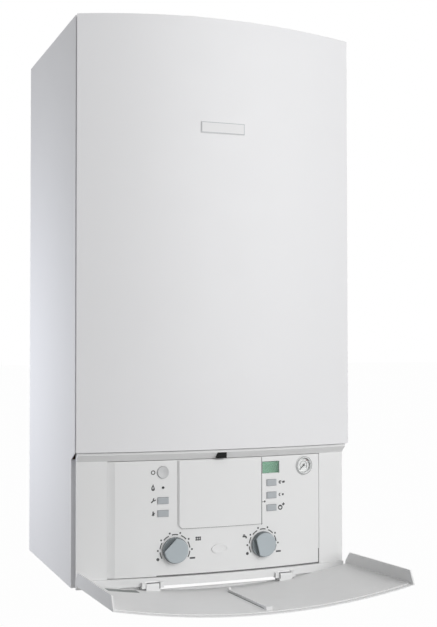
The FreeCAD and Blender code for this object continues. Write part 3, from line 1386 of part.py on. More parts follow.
def pump():
    """Return block with the pump's volute, its rotor, and the motor that closes the front."""
    volute = rod("y", "volute_radius", PUMP_SPOT, "volute_depth")
    boss = rod("z", RISER_BOSS, (RISER_PLACE, f"-{RISER_DEPTH}", BLOCK_TOP),
               f"pump_level - {BLOCK_TOP} + volute_radius")
    well = rod("y", "volute_radius - volute_wall", (PUMP_PLACE, f"{PUMP_FRONT} - 1", "pump_level"),
               "volute_depth - volute_wall + 1")
    solid = fuse(*water_block(1), volute, boss)
    keep(cut(solid, well, tail_bore(2, "block_foot + block_height / 3")), "pump_body")
    centre = f"({PUMP_FRONT} + (volute_depth - volute_wall) / 2)"
    front = f"({PUMP_FRONT} - pump_motor_length / 2 - {centre})"
    wheel = vaned_wheel("rotor_vanes", "rotor_radius", "rotor_width", "2 * shaft_radius", front)
    keep(place(wheel, PUMP_PLACE, centre, "pump_level"), "pump_rotor")
    can = rod("y", "pump_motor_radius", (PUMP_PLACE, f"{PUMP_FRONT} - pump_motor_length", "pump_level"),
              "pump_motor_length")
    terminal = box((f"{PUMP_PLACE} - pump_motor_radius / 2", f"{PUMP_PLACE} + pump_motor_radius / 2"),
                   (f"{PUMP_FRONT} - pump_motor_length * 0.8", f"{PUMP_FRONT} - pump_motor_length * 0.2"),
                   ("pump_level + pump_motor_radius - 8", "pump_level + pump_motor_radius + 10"))
    bore = rod("y", "shaft_radius + shaft_fit",
               (PUMP_PLACE, f"{PUMP_FRONT} - pump_motor_length / 2 - seat_gap", "pump_level"),
               "pump_motor_length")
    keep(cut(fuse(can, terminal), bore), "pump_motor")


def plate_heat_exchanger():
    """Stack of brazed plates between the two blocks, with a port at each end."""
    half = f"({BLOCK_INNER} - port_length)"
    foot = "block_foot"
    pitch = "(plates_depth / plate_count)"
    body = doc.addObject("PartDesign::Body", "plates")
    core = body.newObject("PartDesign::Pad", "core")
    x = (f"-{half} + plate_lip", f"{half} - plate_lip")
    z = (f"{foot} + plate_lip", f"{foot} + plates_height - plate_lip")
    core.Profile = outline(body, "XZ_Plane", [(x[0], z[0]), (x[1], z[0]), (x[1], z[1]), (x[0], z[1])])
    bind(core, Length="plates_depth")
    lip = body.newObject("PartDesign::Pad", "lip")
    lip.Profile = outline(body, "XZ_Plane", [(f"-{half}", foot), (half, foot),
                                             (half, f"{foot} + plates_height"),
                                             (f"-{half}", f"{foot} + plates_height")])
    bind(lip, Length=f"{pitch} * 0.6")
    pattern = body.newObject("PartDesign::LinearPattern", "row")
    pattern.Originals = [lip]
    pattern.Direction = (lip.Profile[0], ["N_Axis"])
    bind(pattern, Length=f"{pitch} * (plate_count - 1)", Occurrences="plate_count")
    body.Tip = pattern
    place(body, y="-block_front + plates_depth")
    ports = rod("x", "port_radius",
                (f"-{BLOCK_INNER}", "-block_front + plates_depth / 2", f"{foot} + plates_height / 2"),
                f"2 * {BLOCK_INNER}")
    keep(fuse(body, ports), "plate_heat_exchanger")


def gas_valve():
    """Gas valve block with two coils in front and an inlet flange below."""
    middle = CHAMBER_MIDDLE
    half = "valve_width / 2"
    body = box((f"-{half}", half), (f"{middle} - valve_depth / 2", f"{middle} + valve_depth / 2"),
               (VALVE_FOOT, VALVE_TOP))
    coil_start = (f"{middle} - valve_depth / 2 - coil_length", f"{VALVE_FOOT} + valve_height / 2")
    coils = [rod("y", "coil_radius", (f"{side} * valve_width / 4", *coil_start), "coil_length + 1")
             for side in (-1, 1)]
    inlet = rod("z", "coil_radius", ("0", middle, f"{VALVE_FOOT} - boss_height"), "boss_height + 1")
    keep(fuse(body, *coils, inlet), "gas_valve")


def safety_valve():
    """Relief valve with a turn cap on the front of the return block."""
    spot = (f"{BLOCK_OUTER} - 1.6 * relief_cap", "-block_front - relief_length")
    level = "block_foot + block_height / 2"
    neck = rod("y", "relief_radius", (*spot, level), "relief_length")
    cap = rod("y", "relief_cap", (*spot, level), "relief_length / 2")
    keep(fuse(neck, cap), "safety_valve")


def pipe(points, diameter, bend):
    """A bent tube along straight runs joined by arcs."""
    def swept(radius):
        edges = []
        start = points[0]
        for before, corner, after in zip(points, points[1:], points[2:]):
            leave = corner + (before - corner).normalize() * bend
            enter = corner + (after - corner).normalize() * bend
            chord = (leave + enter) * 0.5
            middle = corner + (chord - corner) * (2 - 2 ** 0.5)
            edges.append(Part.LineSegment(start, leave).toShape())
            edges.append(Part.Arc(leave, middle, enter).toShape())
            start = enter
        edges.append(Part.LineSegment(start, points[-1]).toShape())
        ring = Part.Wire([Part.makeCircle(radius, points[0], points[1] - points[0])])
        return Part.Wire(edges).makePipeShell([ring], True, False)
    return swept(diameter / 2).cut(swept(diameter / 2 - size("pipe_wall")))


def pipes():
    """Copper pipes: flow and return risers, hot and cold water, and gas."""
    block_outer = size("casing_width") / 2 - size("sheet_steel") - size("block_margin")
    tail_pitch = (block_outer - size("tail_inset")) / 2
    riser_place = block_outer - size("riser_inset")

    def shaped(label, shape):
        piece = doc.addObject("Part::Feature", "pipe")
        piece.Shape = shape.removeSplitter()
        return keep(piece, label)

    def tail_solid(number, top, diameter):
        x = number * tail_pitch
        y = -size("tail_depth")
        radius = size(TAILS[number]) / 2
        foot = FreeCAD.Vector(x, y, -size("tail_drop"))
        seat = FreeCAD.Vector(x, y, size("tray_level") + size("back_steel"))
        thread = Part.makeCylinder(radius, size("thread_length"), foot)
        neck = Part.makeCylinder(radius - size("thread_relief"), top - foot.z, foot)
        collar = Part.makeCylinder(radius + size("collar_margin"), size("collar_height"), seat)
        bore = Part.makeCylinder(diameter / 2 - size("pipe_wall"), top - foot.z, foot)
        return thread.fuse([neck, collar]).cut(bore)

    bend = size("pipe_bend")
    large = size("pipe_diameter")
    small = size("small_pipe")
    level = size("exchanger_foot") + size("exchanger_height") / 2
    reach = size("riser_gap") - size("tube_stub")
    riser_foot = {-1: size("block_foot") + size("block_height") + size("boss_height"),
                  1: size("pump_level") + size("volute_radius")}
    for side, label in ((-1, "flow_pipe"), (1, "return_pipe")):
        x = side * riser_place
        y = -size("chamber_back") - size("riser_setback")
        route = [FreeCAD.Vector(x, y, riser_foot[side]), FreeCAD.Vector(x, y, level),
                 FreeCAD.Vector(x - side * reach, y, level)]
        shaped(label, pipe(route, large, reach * 0.7))
    plates_back = -size("block_front") + size("plates_depth")
    tail_top = size("tray_level") + size("back_steel") + size("collar_height")
    for number, label in ((-1, "hot_water_pipe"), (1, "cold_water_pipe")):
        x = number * tail_pitch
        z = size("block_foot") + size("plates_height") / 2
        route = [FreeCAD.Vector(x, -size("tail_depth"), tail_top),
                 FreeCAD.Vector(x, -size("tail_depth"), z),
                 FreeCAD.Vector(x, plates_back, z)]
        shaped(label, pipe(route, small, size("small_bend")).fuse(tail_solid(number, tail_top, small)))
    middle = -size("chamber_back") - size("chamber_depth") / 2
    valve_top = size("chamber_foot") - 5 * size("manifold_radius")
    valve_foot = valve_top - size("valve_height") - size("boss_height")
    gas_level = valve_foot - 2 * bend + size("pipe_wall")
    route = [FreeCAD.Vector(0, -size("tail_depth"), tail_top),
             FreeCAD.Vector(0, -size("tail_depth"), gas_level),
             FreeCAD.Vector(0, middle, gas_level), FreeCAD.Vector(0, middle, valve_foot)]
    shaped("gas_pipe", pipe(route, large, bend).fuse(tail_solid(0, tail_top, large)))


combustion_chamber()
chamber_insulation()
burner()
heat_exchanger()
flue_hood()
fan_housing()
fan()
flue()
electrodes()
expansion_vessel()
base_tray()
cable_gland()
diverter_valve()
pump()
plate_heat_exchanger()
gas_valve()
safety_valve()
pipes()
doc.recompute()

# Nothing is written unless every object and every sub-part is sound
for item in doc.Objects:
    if "Invalid" in item.State or "Error" in item.State:
        raise RuntimeError(f"{item.Name} ({item.Label}) did not rebuild: {item.State}")
for item in SUB_PARTS:
    if item.Shape.isNull() or not item.Shape.isValid() or not item.Shape.Solids:
        raise RuntimeError(f"{item.Label} has no sound shape")

os.makedirs("parts", exist_ok=True)
for item in SUB_PARTS:
    item.Shape.exportStep(f"parts/{item.Label}.step")
    print(f"{item.Label}: {len(item.Shape.Solids)} solid(s), {item.Shape.Volume / 1000:.2f} cm3")
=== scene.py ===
# %% [markdown]
# # A wall-hung gas boiler
# The boiler is a white steel casing with a bowed front, a flap that drops open over the controls, and the
# burner, pump and pipes inside. The solids come from CAD as a fixed frame in metres, already in place, so
# this lesson gives each solid its finish and adds the printed signs, the light and the camera.
# Loading the frame first means that everything later can be placed from its boxes and joints.

# %% load the frame
import bmesh
import bpy
import json
import math
from mathutils import Matrix, Quaternion, Vector


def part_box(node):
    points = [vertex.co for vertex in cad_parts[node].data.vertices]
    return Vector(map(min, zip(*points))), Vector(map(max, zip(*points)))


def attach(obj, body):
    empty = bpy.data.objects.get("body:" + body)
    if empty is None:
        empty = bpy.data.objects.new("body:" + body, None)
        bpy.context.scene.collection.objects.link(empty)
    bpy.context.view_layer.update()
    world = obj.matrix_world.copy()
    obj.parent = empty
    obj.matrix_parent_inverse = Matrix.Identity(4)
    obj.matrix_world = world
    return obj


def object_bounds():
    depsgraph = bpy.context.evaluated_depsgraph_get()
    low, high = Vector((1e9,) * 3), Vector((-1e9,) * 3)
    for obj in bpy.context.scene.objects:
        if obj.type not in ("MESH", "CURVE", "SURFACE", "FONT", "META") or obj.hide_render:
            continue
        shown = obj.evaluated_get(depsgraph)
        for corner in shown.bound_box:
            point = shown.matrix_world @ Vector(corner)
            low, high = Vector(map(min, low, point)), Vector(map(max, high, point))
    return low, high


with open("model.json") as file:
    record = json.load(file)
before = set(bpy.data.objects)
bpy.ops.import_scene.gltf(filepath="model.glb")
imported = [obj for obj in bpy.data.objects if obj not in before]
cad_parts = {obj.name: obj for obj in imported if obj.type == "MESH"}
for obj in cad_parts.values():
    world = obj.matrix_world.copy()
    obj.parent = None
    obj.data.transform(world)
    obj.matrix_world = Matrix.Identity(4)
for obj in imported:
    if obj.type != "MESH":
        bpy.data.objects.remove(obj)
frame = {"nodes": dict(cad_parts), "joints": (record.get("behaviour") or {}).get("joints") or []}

nodes = frame["nodes"]
joints = {joint["name"]: joint for joint in frame["joints"]}
CAD_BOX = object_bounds()
MM = 0.001
print("CAD nodes:", len(nodes), "joints:", len(joints))

# %% [markdown]
# ## Smooth curves, crisp folds
# A CAD mesh is made of flat triangles, so the bowed steel front would show facets. Smooth shading blends
# the triangles of one curved face. Edges that turn by more than a limit stay crisp, as folded sheet does.
# Only the shading changes: the points of the mesh stay where CAD put them.

# %% shade the solids
FOLD_ANGLE = math.radians(28)
for node in nodes.values():
    node.data.shade_smooth()
    node.data.set_sharp_from_angle(angle=FOLD_ANGLE)
print("shaded:", len(nodes))

# %% [markdown]
# ## Effects that several finishes share
# Paint, mouldings and metals all have a fine grain, a slightly uneven tone, patches that hands have
# polished, and a little dust on what faces up. Each effect is a node group with named sockets, built once
# and placed in every material with its own values. A group only puts out values that change over the
# surface, and the shader itself stays in the material.

# %% a helper for node groups
NUMBER = "NodeSocketFloat"


def effect_group(name, inputs, outputs):
    """A shader node group with number sockets; returns it with its input and output nodes."""
    group = bpy.data.node_groups.new(name, "ShaderNodeTree")
    for socket, value in inputs.items():
        made = group.interface.new_socket(socket, in_out="INPUT", socket_type=NUMBER)
        made.default_value = value
    for socket in outputs:
        group.interface.new_socket(socket, in_out="OUTPUT", socket_type=NUMBER)
    return group, group.nodes.new("NodeGroupInput"), group.nodes.new("NodeGroupOutput")


def math_node(tree, operation, first, second):
    """A math node whose operands are sockets or plain numbers."""
    node = tree.nodes.new("ShaderNodeMath")
    node.operation = operation
    for socket, operand in zip(node.inputs, (first, second)):
        if isinstance(operand, (int, float)):
            socket.default_value = operand
        else:
            tree.links.new(operand, socket)
    return node.outputs[0]


def noise_node(tree, scale, detail, place):
    """A noise texture over the object's own coordinates; scale and place are sockets."""
    node = tree.nodes.new("ShaderNodeTexNoise")
    node.inputs["Detail"].default_value = detail
    tree.links.new(place, node.inputs["Vector"])
    tree.links.new(scale, node.inputs["Scale"])
    return node.outputs["Fac"]


def object_place(tree):
    """The point on the object that a texture reads, in metres."""
    return tree.nodes.new("ShaderNodeTexCoord").outputs["Object"]


# %% [markdown]
# ### Grain and tone
# A powder coat has a fine orange-peel skin and a moulding has the spark pattern of its tool. Both read as
# a fine noise for height. A second, broad noise lets the tone drift a little, which keeps a large white
# panel from looking like paper.

# %% grain and tone
GRAIN_DETAIL = 2.0
TONE_DETAIL = 3.0
GRAIN, grain_in, grain_out = effect_group("grain_and_tone", {"Grain Scale": 900.0, "Tone Scale": 5.0},
                                          ("Height", "Tone"))
grain_place = object_place(GRAIN)
grain_height = noise_node(GRAIN, grain_in.outputs["Grain Scale"], GRAIN_DETAIL, grain_place)
grain_tone = noise_node(GRAIN, grain_in.outputs["Tone Scale"], TONE_DETAIL, grain_place)
GRAIN.links.new(grain_height, grain_out.inputs["Height"])
GRAIN.links.new(grain_tone, grain_out.inputs["Tone"])
print("group:", GRAIN.name)

# %% [markdown]
# ### Handling
# Hands leave glossier and duller patches. A middle-sized noise between two roughness limits does that, and
# it shows only where a reflection runs over it.

# %% handling
PATCH_DETAIL = 4.0
HANDLING, hand_in, hand_out = effect_group("handling", {"Patch Scale": 22.0, "Dull": 0.45, "Polished": 0.33},
                                           ("Roughness",))
hand_noise = noise_node(HANDLING, hand_in.outputs["Patch Scale"], PATCH_DETAIL, object_place(HANDLING))
hand_span = math_node(HANDLING, "SUBTRACT", hand_in.outputs["Dull"], hand_in.outputs["Polished"])
hand_share = math_node(HANDLING, "MULTIPLY", hand_noise, hand_span)
hand_gloss = math_node(HANDLING, "ADD", hand_in.outputs["Polished"], hand_share)
HANDLING.links.new(hand_gloss, hand_out.inputs["Roughness"])
print("group:", HANDLING.name)

# %% [markdown]
# ### Settled dust
# Dust lies on faces that look up: the lid, the cornice, the open flap. The mask takes the upward part of
# the surface normal, squares it so that walls stay clean, and breaks it up with noise.

# %% settled dust
DUST_DETAIL = 5.0
DUST, dust_in, dust_out = effect_group("settled_dust", {"Amount": 0.12, "Patch Scale": 40.0}, ("Mask",))
dust_normal = DUST.nodes.new("ShaderNodeSeparateXYZ")
DUST.links.new(DUST.nodes.new("ShaderNodeNewGeometry").outputs["Normal"], dust_normal.inputs["Vector"])
dust_up = math_node(DUST, "MAXIMUM", dust_normal.outputs["Z"], 0.0)
dust_square = math_node(DUST, "MULTIPLY", dust_up, dust_up)
dust_noise = noise_node(DUST, dust_in.outputs["Patch Scale"], DUST_DETAIL, object_place(DUST))
dust_broken = math_node(DUST, "MULTIPLY", dust_square, dust_noise)
DUST.links.new(math_node(DUST, "MULTIPLY", dust_broken, dust_in.outputs["Amount"]), dust_out.inputs["Mask"])
print("group:", DUST.name)

# %% [markdown]
# ### Drawn lines
# Rolled and brushed metal has long fine lines. Stretching a noise along one axis gives them: the
# coordinates across the lines are multiplied, and those along them are left alone.

# %% drawn lines
LINE_DETAIL = 2.0
LINE_STRETCH = (12.0, 12.0, 1.0)
DRAWN, drawn_in, drawn_out = effect_group("drawn_lines", {"Line Scale": 60.0}, ("Height",))
drawn_stretch = DRAWN.nodes.new("ShaderNodeVectorMath")
drawn_stretch.operation = "MULTIPLY"
drawn_stretch.inputs[1].default_value = LINE_STRETCH
DRAWN.links.new(object_place(DRAWN), drawn_stretch.inputs[0])
drawn_noise = noise_node(DRAWN, drawn_in.outputs["Line Scale"], LINE_DETAIL, drawn_stretch.outputs[0])
DRAWN.links.new(drawn_noise, drawn_out.inputs["Height"])
print("group:", DRAWN.name)

# %% [markdown]
# ### Screw thread
# The tails below the tray are threaded for union nuts. The rings of a thread are a sine along the height,
# kept to the lowest stretch of the tails by a step on the same coordinate. Copper and brass tails share it.

# %% screw thread
THREAD_PITCH = 1.8 * MM
THREAD_LENGTH = 40 * MM
THREAD_TOP = CAD_BOX[0].z + THREAD_LENGTH
THREAD, thread_in, thread_out = effect_group("screw_thread", {"Pitch": THREAD_PITCH}, ("Height",))
thread_axes = THREAD.nodes.new("ShaderNodeSeparateXYZ")
THREAD.links.new(object_place(THREAD), thread_axes.inputs["Vector"])
thread_turns = math_node(THREAD, "DIVIDE", thread_axes.outputs["Z"], thread_in.outputs["Pitch"])
thread_wave = math_node(THREAD, "SINE", math_node(THREAD, "MULTIPLY", thread_turns, math.tau), 0.0)
thread_below = math_node(THREAD, "LESS_THAN", thread_axes.outputs["Z"], THREAD_TOP)
THREAD.links.new(math_node(THREAD, "MULTIPLY", thread_wave, thread_below), thread_out.inputs["Height"])
print("group:", THREAD.name)

# %% [markdown]
# ## Finishes
# Every finish is the same short recipe: two close tones mixed by the broad noise, dust over them, a
# roughness that handling varies, and a bump from the grain, the drawn lines or the thread. Numbers that
# are the same all over the surface sit on the shader's own sockets. A mix node holds one set of sockets for
# each kind of value, so the sockets for colours are picked by number.

# %% a recipe for finishes
DUST_COLOUR = (0.55, 0.53, 0.50, 1.0)
BUMP_STRENGTH = 0.6
COLOUR_FIRST, COLOUR_SECOND, COLOUR_MIXED = 6, 7, 2


def place_group(tree, group, **values):
    """A node group placed in a material; underscores in the names stand for spaces."""
    node = tree.nodes.new("ShaderNodeGroup")
    node.node_tree = group
    for name, value in values.items():
        node.inputs[name.replace("_", " ")].default_value = value
    return node


def mix_colour(tree, factor, first, second):
    """A colour between two others, each a socket or a plain colour."""
    node = tree.nodes.new("ShaderNodeMix")
    node.data_type = "RGBA"
    tree.links.new(factor, node.inputs["Factor"])
    for number, colour in ((COLOUR_FIRST, first), (COLOUR_SECOND, second)):
        if isinstance(colour, tuple):
            node.inputs[number].default_value = colour
        else:
            tree.links.new(colour, node.inputs[number])
    return node.outputs[COLOUR_MIXED]


def shade(colour, factor):
    """A plain colour made lighter or darker."""
    return tuple(min(1.0, part * factor) for part in colour[:3]) + (1.0,)


def finish(name, colour, roughness, drift=0.03, dust=0.12, grain=900.0, depth=0.02, metallic=0.0,
           relief=None, sheen=0.5):
    """A material with an uneven tone, handled gloss, dust and a fine relief; depth is in millimetres."""
    material = bpy.data.materials.new(name)
    material.use_nodes = True
    tree = material.node_tree
    shader = tree.nodes["Principled BSDF"]
    shader.inputs["Metallic"].default_value = metallic
    shader.inputs["Specular IOR Level"].default_value = sheen
    skin = place_group(tree, GRAIN, Grain_Scale=grain)
    tone = mix_colour(tree, skin.outputs["Tone"], shade(colour, 1 - drift), shade(colour, 1 + drift))
    dusty = place_group(tree, DUST, Amount=dust)
    tree.links.new(mix_colour(tree, dusty.outputs["Mask"], tone, DUST_COLOUR), shader.inputs["Base Color"])
    low, high = roughness
    hands = place_group(tree, HANDLING, Polished=low, Dull=high)
    tree.links.new(hands.outputs["Roughness"], shader.inputs["Roughness"])
    bump = tree.nodes.new("ShaderNodeBump")
    bump.inputs["Strength"].default_value = BUMP_STRENGTH
    bump.inputs["Distance"].default_value = depth * MM
    height = skin if relief is None else place_group(tree, relief)
    tree.links.new(height.outputs["Height"], bump.inputs["Height"])
    tree.links.new(bump.outputs["Normal"], shader.inputs["Normal"])
    return material


# %% [markdown]
# ### White steel and white mouldings
# The casing is powder-coated steel, a cool white with a satin sheen. The fascia and flap are moulded in a
# white that is a touch warmer and duller, so the seam between them reads even where both face the light.

# %% white finishes
WHITE_ENAMEL = finish("white_enamel", (0.80, 0.80, 0.812), (0.34, 0.44), drift=0.012, grain=1400.0,
                      depth=0.010)
WHITE_MOULDING = finish("white_moulding", (0.80, 0.802, 0.802), (0.42, 0.55), drift=0.012, grain=2200.0,
                        depth=0.015)
BADGE_WHITE = finish("badge_white", (0.74, 0.74, 0.745), (0.25, 0.36), drift=0.02, dust=0.04)
print("finishes:", WHITE_ENAMEL.name, WHITE_MOULDING.name, BADGE_WHITE.name)

# %% [markdown]
# ### Controls
# Knobs and keys are a blue-grey moulding that fingers polish. The main switch is a paler grey, the catch is
# black, and the display is a green panel that reflects light and has no lamp of its own. The darker greys at
# the end are for the prints and for painted shade: the shadow on the knobs' flats, the strips of shade on the
# flap and the dark lines in gaps.

# %% control finishes
KNOB_GREY = finish("knob_grey", (0.43, 0.478, 0.505), (0.40, 0.56), drift=0.05, grain=1800.0, depth=0.03)
KEY_GREY = finish("key_grey", (0.425, 0.45, 0.47), (0.45, 0.60), drift=0.04, grain=1800.0, depth=0.03)
SWITCH_GREY = finish("switch_grey", (0.60, 0.605, 0.61), (0.38, 0.50), drift=0.03)
BLACK_MOULDING = finish("black_moulding", (0.012, 0.014, 0.014), (0.42, 0.60), drift=0.2, dust=0.03)
LAMP_DARK = finish("lamp_dark", (0.03, 0.035, 0.035), (0.15, 0.25), drift=0.1, dust=0.02)
CATCH_BLACK = finish("catch_black", (0.006, 0.007, 0.007), (0.50, 0.65), drift=0.2, dust=0.0, sheen=0.15)
DISPLAY_GREEN = finish("display_green", (0.098, 0.25, 0.155), (0.35, 0.45), drift=0.08, dust=0.0,
                       grain=3000.0)
GAUGE_WHITE = finish("gauge_white", (0.72, 0.73, 0.73), (0.30, 0.42), drift=0.02, dust=0.04)
DIAL_WHITE = finish("dial_white", (0.56, 0.56, 0.555), (0.50, 0.60), drift=0.02, dust=0.0)
# The next three greys are painted shade: the shadow on the knobs' flats, the strips of shade on the flap, and
# the dark lines in gaps.
KNOB_PAINTED_SHADOW = finish("knob_painted_shadow", (0.15, 0.17, 0.18), (0.45, 0.60), drift=0.08, dust=0.05)
FLAP_SHADE_GREY = finish("flap_shade_grey", (0.19, 0.21, 0.205), (0.50, 0.65), drift=0.1)
GAP_SHADE_GREY = finish("gap_shade_grey", (0.14, 0.14, 0.145), (0.55, 0.70), drift=0.1, dust=0.0)
PRINT_GREY = finish("print_grey", (0.055, 0.058, 0.06), (0.45, 0.60), drift=0.15, dust=0.0)
PRINT_RED = finish("print_red", (0.22, 0.025, 0.02), (0.45, 0.60), drift=0.1, dust=0.0)
print("control finishes made")

# %% [markdown]
# ### Painted shade on the knobs' grip
# The wall that fingers hold turns away from the front and lies in shade, and that shade is painted into the
# finish as a darker colour. The knob is one solid, so the finish tells the wall from the face by the surface
# normal: what doesn't face the front takes the painted shade.

# %% painted grip shade
# the colour of the painted shade on the grip wall
GRIP_SHADE_COLOUR = (0.16, 0.18, 0.19, 1.0)
GRIP_LIMIT = 0.6


def paint_grip_shade(material):
    """Give a finish a painted shade where the surface turns away from the front."""
    tree = material.node_tree
    base = tree.nodes["Principled BSDF"].inputs["Base Color"]
    axes = tree.nodes.new("ShaderNodeSeparateXYZ")
    tree.links.new(tree.nodes.new("ShaderNodeNewGeometry").outputs["Normal"], axes.inputs["Vector"])
    wall = math_node(tree, "GREATER_THAN", axes.outputs["Y"], -GRIP_LIMIT)
    tree.links.new(mix_colour(tree, wall, base.links[0].from_socket, GRIP_SHADE_COLOUR), base)


paint_grip_shade(KNOB_GREY)
print("darker grip on:", KNOB_GREY.name)

# %% [markdown]
# ### Metals and parts inside
# Behind the front panel are bare materials: zinc-coated sheet, copper pipes, cast brass blocks, a stainless
# burner and plate stack, a red vessel, fibre boards and a green circuit board. They show when the panel
# slides off, and from below.

# %% inner finishes
ZINC = finish("zinc_sheet", (0.52, 0.53, 0.54), (0.36, 0.55), drift=0.10, metallic=1.0, depth=0.02,
              relief=DRAWN)
STAINLESS = finish("stainless", (0.60, 0.60, 0.59), (0.25, 0.40), drift=0.05, metallic=1.0, depth=0.015,
                   relief=DRAWN)
ALUMINIUM = finish("cast_aluminium", (0.66, 0.67, 0.68), (0.40, 0.55), drift=0.06, metallic=1.0,
                   grain=700.0, depth=0.05)
COPPER = finish("copper", (0.72, 0.38, 0.25), (0.24, 0.42), drift=0.12, metallic=1.0, depth=0.35,
                relief=THREAD)
BRASS = finish("brass", (0.70, 0.55, 0.27), (0.30, 0.46), drift=0.08, metallic=1.0, depth=0.35, relief=THREAD)
RED_ENAMEL = finish("red_enamel", (0.42, 0.035, 0.03), (0.22, 0.34), drift=0.06)
FIBRE = finish("fibre_board", (0.70, 0.67, 0.60), (0.85, 0.95), drift=0.10, grain=500.0, depth=0.2)
CERAMIC = finish("ceramic", (0.76, 0.73, 0.66), (0.30, 0.45), drift=0.04)
CIRCUIT = finish("circuit_board", (0.02, 0.16, 0.06), (0.30, 0.42), drift=0.12)
FOAM = finish("foam_seal", (0.035, 0.035, 0.035), (0.85, 0.95), drift=0.15, grain=600.0, depth=0.2)
print("inner finishes made")

# %% [markdown]
# ### Clear windows
# The display window and the gauge lens are clear plastic. Transmission with a low roughness makes them
# clear, and the handling effect keeps a trace of wiping on them. Light on its way to the dial behind is let
# straight through: a pane as thin as these casts next to no shadow.

# %% clear finish
CLEAR_TINT = (0.97, 0.98, 0.98, 1.0)
CLEAR_INDEX = 1.46
WIPED_GLOSS, SMEARED_GLOSS = 0.01, 0.08


def clear_plastic(name):
    """Clear plastic with faint wipe marks."""
    material = bpy.data.materials.new(name)
    material.use_nodes = True
    tree = material.node_tree
    shader = tree.nodes["Principled BSDF"]
    shader.inputs["Base Color"].default_value = CLEAR_TINT
    shader.inputs["IOR"].default_value = CLEAR_INDEX
    shader.inputs["Transmission Weight"].default_value = 1.0
    wipes = place_group(tree, HANDLING, Polished=WIPED_GLOSS, Dull=SMEARED_GLOSS)
    tree.links.new(wipes.outputs["Roughness"], shader.inputs["Roughness"])
    through = tree.nodes.new("ShaderNodeBsdfTransparent")
    choice = tree.nodes.new("ShaderNodeMixShader")
    tree.links.new(tree.nodes.new("ShaderNodeLightPath").outputs["Is Shadow Ray"], choice.inputs["Fac"])
    tree.links.new(shader.outputs["BSDF"], choice.inputs[1])
    tree.links.new(through.outputs["BSDF"], choice.inputs[2])
    tree.links.new(choice.outputs["Shader"], tree.nodes["Material Output"].inputs["Surface"])
    return material


CLEAR = clear_plastic("clear_plastic")
print("finish:", CLEAR.name)

# %% [markdown]
# ## Dressing the solids
# Each solid keeps its CAD mesh and only takes a finish. A table from finish to node names is easy to read
# and to change, and the last line checks that no solid was forgotten.

# %% dress the solids
DRESS = (
    (WHITE_ENAMEL, "front_panel left_side_panel right_side_panel top_panel"),
    (WHITE_MOULDING, "lower_fascia control_fascia flap blank_cover air_collar indicator_lens"),
    (BADGE_WHITE, "badge_plate"),
    (KNOB_GREY, "heating_knob hot_water_knob"),
    (KEY_GREY, "reset_button service_button mode_button up_button down_button"),
    (GAUGE_WHITE, "gauge_case"),
    (SWITCH_GREY, "main_switch"),
    (CATCH_BLACK, "panel_catch"),
    (BLACK_MOULDING, "control_housing potentiometers gauge_needle cable_gland"),
    (BLACK_MOULDING, "fan_motor pump_motor pump_rotor"),
    (LAMP_DARK, "status_lamp"),
    (DISPLAY_GREEN, "display_module"),
    (CLEAR, "display_window gauge_lens"),
    (DIAL_WHITE, "gauge_dial"),
    (FOAM, "panel_seal"),
    (ZINC, "back_plate base_tray combustion_chamber flue_hood fan_housing casing_screws gas_valve"),
    (STAINLESS, "burner plate_heat_exchanger"),
    (ALUMINIUM, "flue_spigot fan_impeller heating_spindle hot_water_spindle"),
    (COPPER, "heat_exchanger gas_pipe flow_pipe return_pipe hot_water_pipe cold_water_pipe"),
    (BRASS, "diverter_valve pump_body safety_valve"),
    (RED_ENAMEL, "expansion_vessel"),
    (FIBRE, "chamber_insulation"),
    (CERAMIC, "electrodes"),
    (CIRCUIT, "control_board"),
)
dressed = set()
for material, names in DRESS:
    for name in names.split():
        nodes[name].data.materials.clear()
        nodes[name].data.materials.append(material)
        dressed.add(name)
print("dressed:", len(dressed), "left bare:", sorted(set(nodes) - dressed))

# %% [markdown]
# ## Printed signs
# Scales and signs are printed on the bowed face. A real print is a thin film of ink, so each sign is a very
# thin closed solid that follows the face: strokes are ribbons of even width, dots are discs. Drawing them as
# geometry keeps them sharp from any side, and one small set of functions draws them all.

# %% the bowed face from the frame
knob_joint = joints["hot_water_knob_turn"]
FACE_RADIUS = knob_joint["pos_m"][0] / knob_joint["axis"][0]
FACE_CENTRE = knob_joint["pos_m"][1] - FACE_RADIUS * knob_joint["axis"][1]
INK_TOP = 0.06 * MM
INK_ROOT = -0.05 * MM
UPRIGHT = (0.0, 0.0, 1.0)


def bowed_spot(x, z):
    """A map from a sign's own right and up, in millimetres, to the bowed control face around a spot."""
    def spot(right, up, lift):
        across = x + right * MM
        return Vector((across, FACE_CENTRE - math.sqrt((FACE_RADIUS + lift) ** 2 - across ** 2), z + up * MM))
    return spot


def flat_spot(centre, out, up):
    """A map from a sign's own right and up, in millimetres, to a flat face with a given outward direction."""
    out = Vector(out).normalized()
    up = Vector(up)
    right = up.cross(out).normalized()

    def spot(across, along, lift):
        return Vector(centre) + right * across * MM + up * along * MM + out * lift
    return spot


print("face radius:", round(FACE_RADIUS, 4), "m")

# %% [markdown]
# A ribbon needs a left and a right border along its line. At each point the border steps out along the
# average of the two neighbouring normals, lengthened at a bend so that the ribbon keeps its width. A limit
# keeps very sharp bends from growing long tips. All lengths in a drawing are in millimetres.

# %% strokes and dots
BEND_LIMIT = 0.4


def borders(line, width, closed):
    """Left and right border points of a ribbon along a line of (right, up) points."""
    points = [Vector(point) for point in line]
    pairs = []
    for index, point in enumerate(points):
        before = points[index - 1] if index or closed else None
        after = points[(index + 1) % len(points)] if index + 1 < len(points) or closed else None
        headings = []
        if before is not None:
            headings.append((point - before).normalized())
        if after is not None:
            headings.append((after - point).normalized())
        heading = sum(headings, Vector((0.0, 0.0))).normalized()
        normal = Vector((-heading.y, heading.x))
        first = Vector((-headings[0].y, headings[0].x))
        reach = width / 2 / max(BEND_LIMIT, normal.dot(first))
        pairs.append((point + normal * reach, point - normal * reach))
    return pairs


